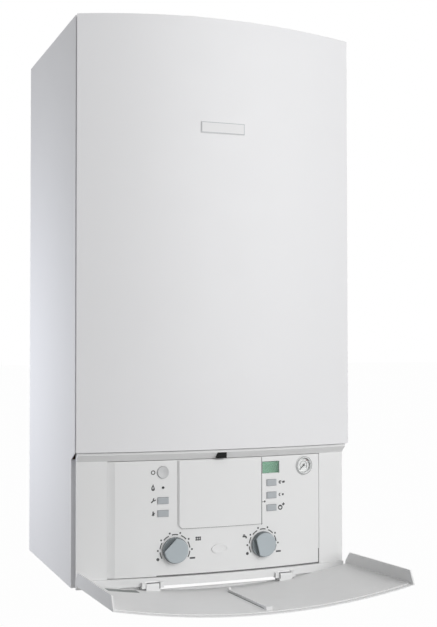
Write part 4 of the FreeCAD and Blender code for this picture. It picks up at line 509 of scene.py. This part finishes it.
def ink_stroke(mesh, spot, line, width, closed=False):
    """Add a thin closed ribbon to a mesh."""
    rings = []
    for left, right in borders(line, width, closed):
        corners = ((left, INK_TOP), (right, INK_TOP), (right, INK_ROOT), (left, INK_ROOT))
        rings.append([mesh.verts.new(spot(corner.x, corner.y, lift)) for corner, lift in corners])
    spans = list(zip(rings, rings[1:] + rings[:1]))
    for start, end in spans if closed else spans[:-1]:
        for side in range(len(start)):
            nxt = (side + 1) % len(start)
            mesh.faces.new((start[side], end[side], end[nxt], start[nxt]))
    if not closed:
        mesh.faces.new(rings[0])
        mesh.faces.new(list(reversed(rings[-1])))


def ink_patch(mesh, spot, outline):
    """Add a thin closed patch with a given outline to a mesh."""
    top = [mesh.verts.new(spot(right, up, INK_TOP)) for right, up in outline]
    root = [mesh.verts.new(spot(right, up, INK_ROOT)) for right, up in outline]
    mesh.faces.new(top)
    mesh.faces.new(list(reversed(root)))
    for index in range(len(outline)):
        nxt = (index + 1) % len(outline)
        mesh.faces.new((top[nxt], top[index], root[index], root[nxt]))


def spaced(start, end, steps):
    """Evenly spaced values from a start to an end, both included."""
    return [start + (end - start) * step / steps for step in range(steps + 1)]


def polar(radius, turn, centre=(0.0, 0.0)):
    """The point at a radius and an angle; angles are in degrees, anticlockwise from the right."""
    angle = math.radians(turn)
    return centre[0] + radius * math.cos(angle), centre[1] + radius * math.sin(angle)


def arc(radius, start, end, centre=(0.0, 0.0), steps=12):
    """Points along an arc between two angles."""
    return [polar(radius, turn, centre) for turn in spaced(start, end, steps)]


def circle(radius, centre=(0.0, 0.0), sides=20):
    """Points round a circle, for a disc or a closed ring."""
    return arc(radius, 0, 360 * (sides - 1) / sides, centre, sides - 1)


def printed(name, material, body, draw):
    """One printed piece: draw fills its mesh, and it rides on a body."""
    mesh = bmesh.new()
    draw(mesh)
    bmesh.ops.recalc_face_normals(mesh, faces=mesh.faces)
    data = bpy.data.meshes.new(name)
    mesh.to_mesh(data)
    mesh.free()
    data.materials.append(material)
    piece = bpy.data.objects.new(name, data)
    bpy.context.scene.collection.objects.link(piece)
    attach(piece, body)
    print("printed:", name, len(data.polygons), "faces")


# %% [markdown]
# ### Knob scales
# Round each knob run seven short arcs with a dot at each stop, from a large off dot at the lower left to a
# short bar at the lower right. The stops are evenly spaced over the knob's own range, so the scale is
# worked out from the joint's limits.

# %% knob scales
STOPS = 8
SCALE_START = 216.0
SCALE_RADIUS = 22.9
SCALE_WIDTH = 1.6
ARC_GAP = 6.0
STOP_RADIUS = 26.1
STOP_DOT = 1.4
END_LIFT = 10.0
OFF_RADIUS = 29.0
OFF_DOT = 2.3
BAR_RADIUS = 30.0
BAR_HALF = 4.2
BAR_WIDTH = 2.5


def draw_knob_scale(joint):
    """A drawing of one knob's scale."""
    spot = bowed_spot(joint["pos_m"][0], joint["pos_m"][2])
    low, high = joint["range_deg"]
    step = (high - low) / (STOPS - 1)

    def draw(mesh):
        for stop in range(STOPS - 1):
            start = SCALE_START - step * stop - ARC_GAP
            ink_stroke(mesh, spot, arc(SCALE_RADIUS, start, start - step + 2 * ARC_GAP), SCALE_WIDTH)
        for stop in range(1, STOPS - 1):
            ink_patch(mesh, spot, circle(STOP_DOT, polar(STOP_RADIUS, SCALE_START - step * stop)))
        ink_patch(mesh, spot, circle(OFF_DOT, polar(OFF_RADIUS, SCALE_START - END_LIFT)))
        right, up = polar(BAR_RADIUS, SCALE_START - (high - low) + END_LIFT)
        ink_stroke(mesh, spot, [(right - BAR_HALF, up), (right + BAR_HALF, up)], BAR_WIDTH)
    return draw


for knob in ("heating", "hot_water"):
    scale = draw_knob_scale(joints[f"{knob}_knob_turn"])
    printed(f"{knob}_scale", PRINT_GREY, "casing", scale)

# %% [markdown]
# ### Painted shadow on the knob flats
# Each knob has one lower flat that marks its setting. The flat lies below the grip in its shadow, and that
# shadow is painted on as a thin dark inlay on the flat that turns with the knob. At rest the two knobs stand
# at the turns in the table.

# %% knob flat shadows
FLAT_LEVEL = 4.6
FLAT_RADIUS = 18.9
FLAT_HALF_TURN = 45.0
KNOB_TURNS = {"heating": 45.0, "hot_water": -13.4}


def draw_flat_shadow(joint, turn):
    """A drawing of the painted shadow on one knob's flat."""
    out = Vector(joint["axis"])
    spot = flat_spot(Vector(joint["pos_m"]) + out * FLAT_LEVEL * MM, out, UPRIGHT)

    def draw(mesh):
        side = 180.0 - turn
        ink_patch(mesh, spot, arc(FLAT_RADIUS, side - FLAT_HALF_TURN, side + FLAT_HALF_TURN))
    return draw


for knob, turn in KNOB_TURNS.items():
    flat = draw_flat_shadow(joints[f"{knob}_knob_turn"], turn)
    printed(f"{knob}_knob_shadow", KNOB_PAINTED_SHADOW, f"{knob}_knob", flat)

# %% [markdown]
# ### Painted shade at the seam of the blank cover
# A loose cover leaves a fine gap where its edge meets the face, and the shade in that gap is painted as a
# dark line. It shows along the foot and up the right edge, with a dark dot at the lower right corner. The
# cover stands proud and would hide a line at its right edge from the camera, so that line lies a shadow's
# width out from the edge and is twice as wide.

# %% cover seam
SEAM_WIDTH = 1.0
SEAM_SHADOW = 1.5
SEAM_STEPS = 12
SEAM_DOT = 1.3
COVER_CORNER = 7.0


def draw_cover_gap_shadow(mesh):
    """The painted shade along the cover's foot and right edge."""
    low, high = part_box("blank_cover")
    left, right = low.x / MM, high.x / MM
    foot, top = low.z / MM - SEAM_WIDTH / 2, high.z / MM
    spot = bowed_spot(0.0, 0.0)
    line = [(across, foot) for across in spaced(left + COVER_CORNER, right, SEAM_STEPS)]
    ink_stroke(mesh, spot, line, SEAM_WIDTH)
    edge = right + SEAM_SHADOW
    ink_stroke(mesh, spot, [(edge, foot), (edge, top)], 2 * SEAM_WIDTH)
    ink_patch(mesh, spot, circle(SEAM_DOT, (edge, foot)))


printed("cover_gap_shadow", GAP_SHADE_GREY, "casing", draw_cover_gap_shadow)

# %% [markdown]
# ### Painted shade at the foot of the control face
# The control face ends just above the beam behind the flap, and the gap below it lies in shade. That shade is
# painted as a dark line that starts some way in from the left and turns up at the right corner: a ribbon on
# the face's lowest edge, which gives the line its depth.

# %% face seam
FACE_SEAM_WIDTH = 1.2
FACE_SEAM_START = 72.0
FACE_SEAM_RISE = 22.0
FACE_SEAM_STEPS = 16


def draw_face_gap_shadow(mesh):
    """The painted shade along the control face's foot and up its right corner."""
    low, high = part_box("control_fascia")
    left, right = low.x / MM + FACE_SEAM_START, high.x / MM - FACE_SEAM_WIDTH / 2
    foot = low.z / MM + FACE_SEAM_WIDTH / 2
    line = [(across, foot) for across in spaced(left, right, FACE_SEAM_STEPS)]
    line.append((right, foot + FACE_SEAM_RISE))
    ink_stroke(mesh, bowed_spot(0.0, 0.0), line, FACE_SEAM_WIDTH)


printed("face_gap_shadow", GAP_SHADE_GREY, "casing", draw_face_gap_shadow)

# %% [markdown]
# ### Painted shade beside the flap's left lug
# Beside its left hinge lug the gap between the flap's floor and the beam lies in shade, and that shade is
# painted on the floor as a dark strip. The floor is the inner face of the shut flap, which stands off from
# the control face and follows its bow. So the strip is laid on that upright face first and then swung open
# with the hinge's own axis and range.

# %% flap shadow
FLAP_STANDOFF = 12.6 * MM
SIDE_SHADE_ENDS = (-180.0, -133.0)
SIDE_SHADE_LEVEL = 17.0
SIDE_SHADE_WIDTH = 22.0
SIDE_SHADE_STEPS = 8
hinge_joint = joints["flap_hinge"]
hinge_place = Vector(hinge_joint["pos_m"])
open_turn = Matrix.Rotation(-math.radians(hinge_joint["range_deg"][1]), 3, Vector(hinge_joint["axis"]))


def flap_spot(right, up, lift):
    """A place on the open flap's inner face, from its place across and up the shut flap."""
    across = right * MM
    depth = FACE_CENTRE - math.sqrt((FACE_RADIUS + FLAP_STANDOFF - lift) ** 2 - across ** 2)
    return hinge_place + open_turn @ (Vector((across, depth, up * MM)) - hinge_place)


def draw_flap_shadow(mesh):
    """The painted shade beside the left lug."""
    line = [(across, SIDE_SHADE_LEVEL) for across in spaced(*SIDE_SHADE_ENDS, SIDE_SHADE_STEPS)]
    ink_stroke(mesh, flap_spot, line, SIDE_SHADE_WIDTH)


printed("flap_shadow", FLAP_SHADE_GREY, "flap", draw_flap_shadow)

# %% [markdown]
# ### Painted shade beside the bar
# A bar stiffens the middle of the flap, and its left foot lies in shade. That shade is painted as a narrow
# dark strip on the same inner face as the shade beside the lug.

# %% bar shadow
BAR_SHADE_PLACE = 0.5
BAR_SHADE_ENDS = (34.0, 172.0)
BAR_SHADE_WIDTH = 1.8


def draw_bar_shadow(mesh):
    """The painted shade along the bar's left foot."""
    ink_stroke(mesh, flap_spot, [(BAR_SHADE_PLACE, up) for up in BAR_SHADE_ENDS], BAR_SHADE_WIDTH)


printed("bar_shadow", FLAP_SHADE_GREY, "flap", draw_bar_shadow)

# %% [markdown]
# ### Painted shade at the lugs
# The gap over each lug and beside its inner end lies in shade, painted as a dark bracket. A lug is a round
# knuckle with a flat front, so its map goes straight up the flat and then follows the round: up is a length
# along that outline, and zero is where the flat ends. Two narrow ribbons side by side hug the round better
# than a wide one does.

# %% lug lines
LUG_PLACE = 106.5
LUG_HALF = 9.9
KNUCKLE_RADIUS = 4.8
LUG_TOPS = (4.0, 4.9)
LUG_TOP_WIDTH = 0.9
LUG_END = (4.9, 3.7, 2.5, 1.2, 0.0, -4.5)
LUG_END_WIDTH = 1.4
lug_tilt = math.radians(90 - hinge_joint["range_deg"][1])
lug_front = Vector((0.0, -math.cos(lug_tilt), math.sin(lug_tilt)))
lug_up = Vector((0.0, math.sin(lug_tilt), math.cos(lug_tilt)))


def lug_spot(right, up, lift):
    """A place on a lug's flat front or round top."""
    turn = max(0.0, up) / KNUCKLE_RADIUS
    out = lug_front * math.cos(turn) + lug_up * math.sin(turn)
    middle_line = Vector((right * MM, hinge_place.y, hinge_place.z))
    return middle_line + out * (KNUCKLE_RADIUS * MM + lift) + lug_up * min(0.0, up) * MM


def draw_lug_shadows(mesh):
    """A painted shade line over each lug and one down its inner end."""
    for side in (-1, 1):
        inner, outer = side * (LUG_PLACE - LUG_HALF), side * (LUG_PLACE + LUG_HALF)
        for up in LUG_TOPS:
            ink_stroke(mesh, lug_spot, [(outer, up), (inner, up)], LUG_TOP_WIDTH)
        ink_stroke(mesh, lug_spot, [(inner, up) for up in LUG_END], LUG_END_WIDTH)


printed("lug_shadows", GAP_SHADE_GREY, "flap", draw_lug_shadows)

# %% [markdown]
# ### Signs beside the controls
# A radiator beside the heating knob and a tap beside the hot-water knob tell them apart. Beside the keys
# are a ring for on and off, a flame, a spanner, a chimney, a turning arrow, a moon, a tank and a small
# pointer. Each sign is a few strokes on a grid a few millimetres wide, drawn from points as on squared paper,
# with the sign's middle at zero. The last number of a stroke is its width.

# %% sign drawings


def draw_radiator(mesh, spot):
    """Three columns and two cross bars."""
    for right in (-3.1, 0.0, 3.1):
        ink_stroke(mesh, spot, [(right, -2.9), (right, 2.9)], 1.8)
    for up in (-1.9, 1.9):
        ink_stroke(mesh, spot, [(-4.3, up), (4.3, up)], 1.3)


def draw_tap(mesh, spot):
    """A bent spout with a handle over it."""
    spout = [(-3.0, 0.4)] + arc(1.8, 90, 0, (1.2, -1.4), 6) + [(3.0, -2.6)]
    ink_stroke(mesh, spot, spout, 2.4)
    ink_stroke(mesh, spot, [(-0.6, 0.4), (-0.6, 2.4)], 1.5)
    ink_stroke(mesh, spot, [(-2.2, 2.8), (1.0, 2.8)], 1.5)


def draw_ring(mesh, spot):
    """An open ring."""
    ink_stroke(mesh, spot, circle(2.7, sides=24), 1.3, closed=True)


def draw_flame(mesh, spot):
    """A drop with a dot in it."""
    left = [(0.0, 4.2), (-1.0, 2.0), (-1.9, 0.2), (-1.9, -1.6)]
    bottom = arc(1.9, 190, 350, (0.0, -1.7), 8)
    right = [(1.9, -1.6), (1.4, 0.6), (0.6, 2.0)]
    ink_stroke(mesh, spot, left + bottom + right, 1.4, closed=True)
    ink_patch(mesh, spot, circle(1.0, (0.0, -1.6)))


def draw_spanner(mesh, spot):
    """A slanting handle and an open jaw."""
    ink_stroke(mesh, spot, [(-2.8, -2.8), (1.0, 1.0)], 2.0)
    ink_stroke(mesh, spot, arc(1.7, 100, 350, (2.0, 2.0), 10), 1.7)


def draw_chimney(mesh, spot):
    """A pipe with a side branch over a cone."""
    ink_stroke(mesh, spot, [(0.0, -3.4), (0.0, 3.4)], 2.0)
    ink_stroke(mesh, spot, [(0.0, -0.6), (2.6, 0.8)], 1.7)
    ink_patch(mesh, spot, [(-2.4, -2.4), (2.4, -2.4), (0.0, 1.4)])


def draw_turning_arrow(mesh, spot):
    """An open ring with an arrow head, and a bar beside it."""
    ink_stroke(mesh, spot, arc(1.7, 40, 320, (0.4, 0.0), 12), 1.8)
    ink_patch(mesh, spot, [(0.7, 2.7), (0.8, 0.0), (3.4, 1.2)])
    ink_stroke(mesh, spot, [(4.2, -0.4), (8.6, 0.4)], 3.0)


def draw_moon(mesh, spot):
    """A crescent and a bar beside it."""
    crescent = arc(2.3, 60, 300) + arc(1.75, 270, 90, (1.3, 0.0), 10)
    ink_patch(mesh, spot, crescent)
    ink_stroke(mesh, spot, [(5.2, -1.5), (5.2, 1.5)], 3.0)


def draw_tank(mesh, spot):
    """A round tank with a level in it and a mark at its upper right."""
    ink_stroke(mesh, spot, circle(3.1, (0.6, -0.6), 24), 1.8, closed=True)
    ink_stroke(mesh, spot, arc(2.0, 50, 130, (0.6, -0.4), 6), 1.5)
    ink_stroke(mesh, spot, [(4.6, 2.8), (7.6, 5.4)], 3.4)


def draw_pointer(mesh, spot):
    """A short line that ends in a dot."""
    ink_stroke(mesh, spot, [(-4.2, -0.6), (0.6, -0.2)], 1.0)
    ink_patch(mesh, spot, circle(1.5, (2.6, 0.0)))


# %% [markdown]
# The signs stand a fixed step beside their control, so their places come from the boxes of the keys and the
# joints of the knobs.

# %% place the signs
SIGN_STEP = 15.5 * MM
RIGHT_SIGN_STEP = 15.0 * MM
POINTER_STEP = -14.0 * MM
POINTER_RISE = 10.0 * MM
RADIATOR_PLACE = (36.0, 15.0)
TAP_PLACE = (-31.0, 13.0)


def middle(node):
    """The middle of a node's box."""
    low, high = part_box(node)
    return (low + high) / 2


def beside(node, step, rise=0.0):
    """A spot on the face beside a node, and above it by a rise."""
    centre = middle(node)
    return bowed_spot(centre.x + step, centre.z + rise)


def knob_side(joint, right, up):
    """A spot on the face near a knob, in millimetres from its middle."""
    return bowed_spot(joint["pos_m"][0] + right * MM, joint["pos_m"][2] + up * MM)


SIGNS = {
    "radiator_sign": (draw_radiator, knob_side(joints["heating_knob_turn"], *RADIATOR_PLACE)),
    "tap_sign": (draw_tap, knob_side(joints["hot_water_knob_turn"], *TAP_PLACE)),
    "power_sign": (draw_ring, beside("main_switch", -SIGN_STEP)),
    "flame_sign": (draw_flame, beside("status_lamp", -SIGN_STEP)),
    "spanner_sign": (draw_spanner, beside("service_button", -SIGN_STEP)),
    "chimney_sign": (draw_chimney, beside("reset_button", -SIGN_STEP)),
    "turning_arrow_sign": (draw_turning_arrow, beside("mode_button", RIGHT_SIGN_STEP)),
    "moon_sign": (draw_moon, beside("up_button", RIGHT_SIGN_STEP)),
    "tank_sign": (draw_tank, beside("down_button", RIGHT_SIGN_STEP)),
    "pointer_sign": (draw_pointer, beside("down_button", POINTER_STEP, POINTER_RISE)),
}
for sign, (drawing, sign_spot) in SIGNS.items():
    printed(sign, PRINT_GREY, "casing", lambda mesh: drawing(mesh, sign_spot))

# %% [markdown]
# ### Gauge print
# The pressure gauge has a ring of ticks over three quarters of a turn, a red line at the highest pressure
# allowed and a thin inner ring. The print lies flat on the dial, under the lens, so its map is a flat one. A
# thin ring on the rim of the case marks it off from the white face.

# %% gauge print
TICKS = 17
LONG_TICK_EVERY = 4
LONG_TICK, SHORT_TICK = 3.0, 1.9
TICK_INSET = 0.6
TICK_WIDTH = 0.6
INNER_RING_SHARE = 0.55
INNER_RING_WIDTH = 0.8
INNER_RING_STEPS = 40
EDGE_INSET = 0.4
EDGE_WIDTH = 0.5
RED_TICK = 10.5
RED_LENGTH = 2.8
RED_WIDTH = 1.5
RIM_INSET = 1.3
RIM_WIDTH = 0.55
GAUGE_ZERO = 225.0
DIAL_DEPTH = 2.0 * MM
gauge_joint = joints["gauge_needle_turn"]
gauge_middle = Vector(gauge_joint["pos_m"])
gauge_out = Vector(gauge_joint["axis"]).normalized()
GAUGE_SPAN = gauge_joint["range_deg"][1] - gauge_joint["range_deg"][0]


def half_height(node):
    """Half the height of a node's box, in millimetres."""
    low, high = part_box(node)
    return (high.z - low.z) / 2 / MM


GAUGE_RADIUS = half_height("gauge_dial")
RIM_RADIUS = half_height("gauge_case")
rim_front = max((vertex.co - gauge_middle).dot(gauge_out) for vertex in nodes["gauge_case"].data.vertices)
dial_spot = flat_spot(gauge_middle - gauge_out * DIAL_DEPTH, gauge_out, UPRIGHT)
rim_spot = flat_spot(gauge_middle + gauge_out * rim_front, gauge_out, UPRIGHT)


def draw_tick(mesh, tick, length, inset, width):
    """One radial stroke of the scale; its ends lie a length and an inset in from the dial's edge."""
    turn = GAUGE_ZERO - GAUGE_SPAN * tick / (TICKS - 1)
    ends = [polar(GAUGE_RADIUS - length, turn), polar(GAUGE_RADIUS - inset, turn)]
    ink_stroke(mesh, dial_spot, ends, width)


def draw_gauge(mesh):
    """The ticks, the inner ring and the edge of the scale."""
    for tick in range(TICKS):
        length = SHORT_TICK if tick % LONG_TICK_EVERY else LONG_TICK
        draw_tick(mesh, tick, length, TICK_INSET, TICK_WIDTH)
    ring_radius = GAUGE_RADIUS * INNER_RING_SHARE
    inner_ring = arc(ring_radius, GAUGE_ZERO, GAUGE_ZERO - GAUGE_SPAN, steps=INNER_RING_STEPS)
    ink_stroke(mesh, dial_spot, inner_ring, INNER_RING_WIDTH)
    ink_stroke(mesh, dial_spot, circle(GAUGE_RADIUS - EDGE_INSET, sides=36), EDGE_WIDTH, closed=True)


def draw_red_line(mesh):
    """The red line at the highest pressure allowed."""
    draw_tick(mesh, RED_TICK, RED_LENGTH, EDGE_INSET, RED_WIDTH)


def draw_gauge_rim(mesh):
    """The ring on the rim of the case."""
    ink_stroke(mesh, rim_spot, circle(RIM_RADIUS - RIM_INSET, sides=72), RIM_WIDTH, closed=True)


printed("gauge_ring", PRINT_GREY, "casing", draw_gauge_rim)
printed("gauge_scale", PRINT_GREY, "casing", draw_gauge)
printed("gauge_red_line", PRINT_RED, "casing", draw_red_line)

# %% [markdown]
# ### Painted shade: badge border and screw slots
# The bare badge plate has a thin grey border, painted shade for the edge of the raised plate, which follows
# the front panel's bow. The four screws on the lid get a cross recess, drawn as two dark strokes on each
# head:
# painted shade for the hollow.

# %% badge border and screw slots
BADGE_MARGIN = 0.9
BADGE_STEPS = 10
BORDER_WIDTH = 0.8
badge_low, badge_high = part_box("badge_plate")


def badge_spot(right, up, lift):
    """A point on the badge's bowed front, from its middle, in millimetres."""
    across = right * MM
    reach = FACE_CENTRE - badge_low.y + lift
    depth = FACE_CENTRE - math.sqrt(reach ** 2 - across ** 2)
    return Vector((across, depth, middle("badge_plate").z + up * MM))


def draw_badge(mesh):
    """A thin painted shade border, set in from the plate's edges."""
    side = (badge_high.x - badge_low.x) / 2 / MM - BADGE_MARGIN
    top = half_height("badge_plate") - BADGE_MARGIN
    row = spaced(-side, side, BADGE_STEPS)
    border = [(right, -top) for right in row] + [(right, top) for right in reversed(row)]
    ink_stroke(mesh, badge_spot, border, BORDER_WIDTH, closed=True)


printed("badge_border", KEY_GREY, "front_panel", draw_badge)
screw_low, screw_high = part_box("casing_screws")
SCREW_RADIUS = 4.0 * MM
SLOT_REACH = 1.7
SLOT_WIDTH = 0.8
TOWARDS_WALL = (0.0, 1.0, 0.0)


def draw_screw_slots(mesh):
    """A painted shade cross on each of the four screw heads."""
    for x in (screw_low.x + SCREW_RADIUS, screw_high.x - SCREW_RADIUS):
        for y in (screw_low.y + SCREW_RADIUS, screw_high.y - SCREW_RADIUS):
            spot = flat_spot((x, y, screw_high.z - INK_TOP), UPRIGHT, TOWARDS_WALL)
            ink_stroke(mesh, spot, [(-SLOT_REACH, 0.0), (SLOT_REACH, 0.0)], SLOT_WIDTH)
            ink_stroke(mesh, spot, [(0.0, -SLOT_REACH), (0.0, SLOT_REACH)], SLOT_WIDTH)


printed("screw_slots", PRINT_GREY, "casing", draw_screw_slots)

# %% [markdown]
# ## Studio
# The boiler hangs in front of plain white. The floor is a large pale sheet below it. For the camera, and in
# reflections, it is nearly white light, so it reads as the same white as the backdrop, and the part that is
# still a plain diffuse surface keeps the shadow.

# %% floor and backdrop
FLOOR_DROP = 0.25
FLOOR_LEVEL = CAD_BOX[0].z - FLOOR_DROP
FLOOR_HALF = 30.0
FLOOR_GLOW = 0.98
FLOOR_COLOUR = (0.56, 0.56, 0.56, 1.0)
FLOOR_ROUGHNESS = 0.9


def seen_directly(tree):
    """1 for rays from the camera, in reflections and through glass, else 0."""
    path = tree.nodes.new("ShaderNodeLightPath")
    direct = math_node(tree, "MAXIMUM", path.outputs["Is Camera Ray"], path.outputs["Is Glossy Ray"])
    return math_node(tree, "MAXIMUM", direct, path.outputs["Is Transmission Ray"])


floor_data = bpy.data.meshes.new("studio_floor")
floor_signs = ((-1, -1), (1, -1), (1, 1), (-1, 1))
floor_corners = [(x * FLOOR_HALF, y * FLOOR_HALF, FLOOR_LEVEL) for x, y in floor_signs]
floor_data.from_pydata(floor_corners, [], [(0, 1, 2, 3)])
floor = bpy.data.objects.new("studio_floor", floor_data)
bpy.context.scene.collection.objects.link(floor)
floor_material = bpy.data.materials.new("studio_white")
floor_material.use_nodes = True
floor_tree = floor_material.node_tree
floor_shader = floor_tree.nodes["Principled BSDF"]
floor_shader.inputs["Base Color"].default_value = FLOOR_COLOUR
floor_shader.inputs["Roughness"].default_value = FLOOR_ROUGHNESS
floor_glow = floor_tree.nodes.new("ShaderNodeEmission")
floor_mix = floor_tree.nodes.new("ShaderNodeMixShader")
floor_share = math_node(floor_tree, "MULTIPLY", seen_directly(floor_tree), FLOOR_GLOW)
floor_tree.links.new(floor_share, floor_mix.inputs["Fac"])
floor_tree.links.new(floor_shader.outputs["BSDF"], floor_mix.inputs[1])
floor_tree.links.new(floor_glow.outputs["Emission"], floor_mix.inputs[2])
floor_tree.links.new(floor_mix.outputs["Shader"], floor_tree.nodes["Material Output"].inputs["Surface"])
floor_data.materials.append(floor_material)
print("floor at", round(FLOOR_LEVEL, 3), "m")

# %% [markdown]
# The world gives a soft light from all round. It is much weaker from the left than from the right, which
# shades the left side of the casing, and it is plain white where the camera or a reflection sees it.

# %% world light
WORLD_LEVEL = 0.46
WORLD_TILT = 0.7
world = bpy.data.worlds.new("studio_world")
world.use_nodes = True
bpy.context.scene.world = world
sky = world.node_tree.nodes["Background"]
sky.inputs["Color"].default_value = (1.0, 1.0, 1.0, 1.0)
sky_tree = world.node_tree
sky_axes = sky_tree.nodes.new("ShaderNodeSeparateXYZ")
sky_tree.links.new(sky_tree.nodes.new("ShaderNodeTexCoord").outputs["Generated"], sky_axes.inputs["Vector"])
sky_slope = math_node(sky_tree, "MULTIPLY", sky_axes.outputs["X"], WORLD_LEVEL * WORLD_TILT)
sky_light = math_node(sky_tree, "ADD", sky_slope, WORLD_LEVEL)
sky_seen = seen_directly(sky_tree)
sky_lit = math_node(sky_tree, "MULTIPLY", sky_light, math_node(sky_tree, "SUBTRACT", 1.0, sky_seen))
sky_tree.links.new(math_node(sky_tree, "ADD", sky_lit, sky_seen), sky.inputs["Strength"])
print("world level:", WORLD_LEVEL, "tilt:", WORLD_TILT)

# %% [markdown]
# One large soft lamp stands to the right in front and above, so the bow of the front panel brightens to the
# right and the left side falls into a light shade. A weaker, cooler one at the left lifts the middle and the
# rear of that side, as a pale wall nearby would.

# %% lamps
FULL_SPREAD = 180.0
NEUTRAL = (1.0, 1.0, 1.0)


def soft_lamp(name, place, target, size, power, colour=NEUTRAL, spread=FULL_SPREAD):
    """A square area lamp aimed at a point; size in metres, power in watts, spread in degrees."""
    data = bpy.data.lights.new(name, "AREA")
    data.size = size
    data.energy = power
    data.color = colour
    data.spread = math.radians(spread)
    lamp = bpy.data.objects.new(name, data)
    lamp.location = place
    lamp.visible_camera = False
    lamp.rotation_euler = (Vector(target) - Vector(place)).to_track_quat("-Z", "Y").to_euler()
    bpy.context.scene.collection.objects.link(lamp)
    print("lamp:", name, power, "W")


soft_lamp("key_lamp", place=(1.2, -2.9, 1.2), target=(0.0, -0.3, 0.4), size=2.0, power=45.5)
soft_lamp("side_lamp", place=(-0.95, 0.2, 0.3), target=(-0.22, -0.02, 0.32), size=0.4, power=1.7,
          colour=(0.88, 0.91, 1.0), spread=110.0)

# %% [markdown]
# ## Camera
# The view was found from the casing's upright and level edges: a lens of about 63 mm on a 36 mm frame, a
# little below the middle of the casing, turned to the right and tipped up very slightly. The turn is kept
# as one axis and angle. A Blender camera looks along its own -Z, so a quarter turn about X makes it look to
# the wall first. Depth of field stays off.

# %% camera
CAMERA_PLACE = Vector((-0.5899, -1.9190, 0.3598))
CAMERA_TURN = Vector((-0.02663, 0.00383, 0.35983))
FOCAL_PIXELS = 1101.5
IMAGE_LONG_SIDE = 627
SENSOR = 36.0
camera_data = bpy.data.cameras.new("camera")
camera_data.sensor_width = SENSOR
camera_data.lens = FOCAL_PIXELS * SENSOR / IMAGE_LONG_SIDE
camera = bpy.data.objects.new("camera", camera_data)
world_to_view = Quaternion(CAMERA_TURN.normalized(), CAMERA_TURN.length).to_matrix()
quarter_turn = Matrix.Rotation(math.radians(90), 3, "X")
facing = world_to_view.transposed() @ quarter_turn
camera.matrix_world = Matrix.Translation(CAMERA_PLACE) @ facing.to_4x4()
bpy.context.scene.collection.objects.link(camera)
bpy.context.scene.camera = camera
bpy.context.scene.view_settings.view_transform = "Standard"
print("lens:", round(camera_data.lens, 2), "mm")

# %% sizes and finish
print("CAD box:", [tuple(round(part, 4) for part in corner) for corner in CAD_BOX])
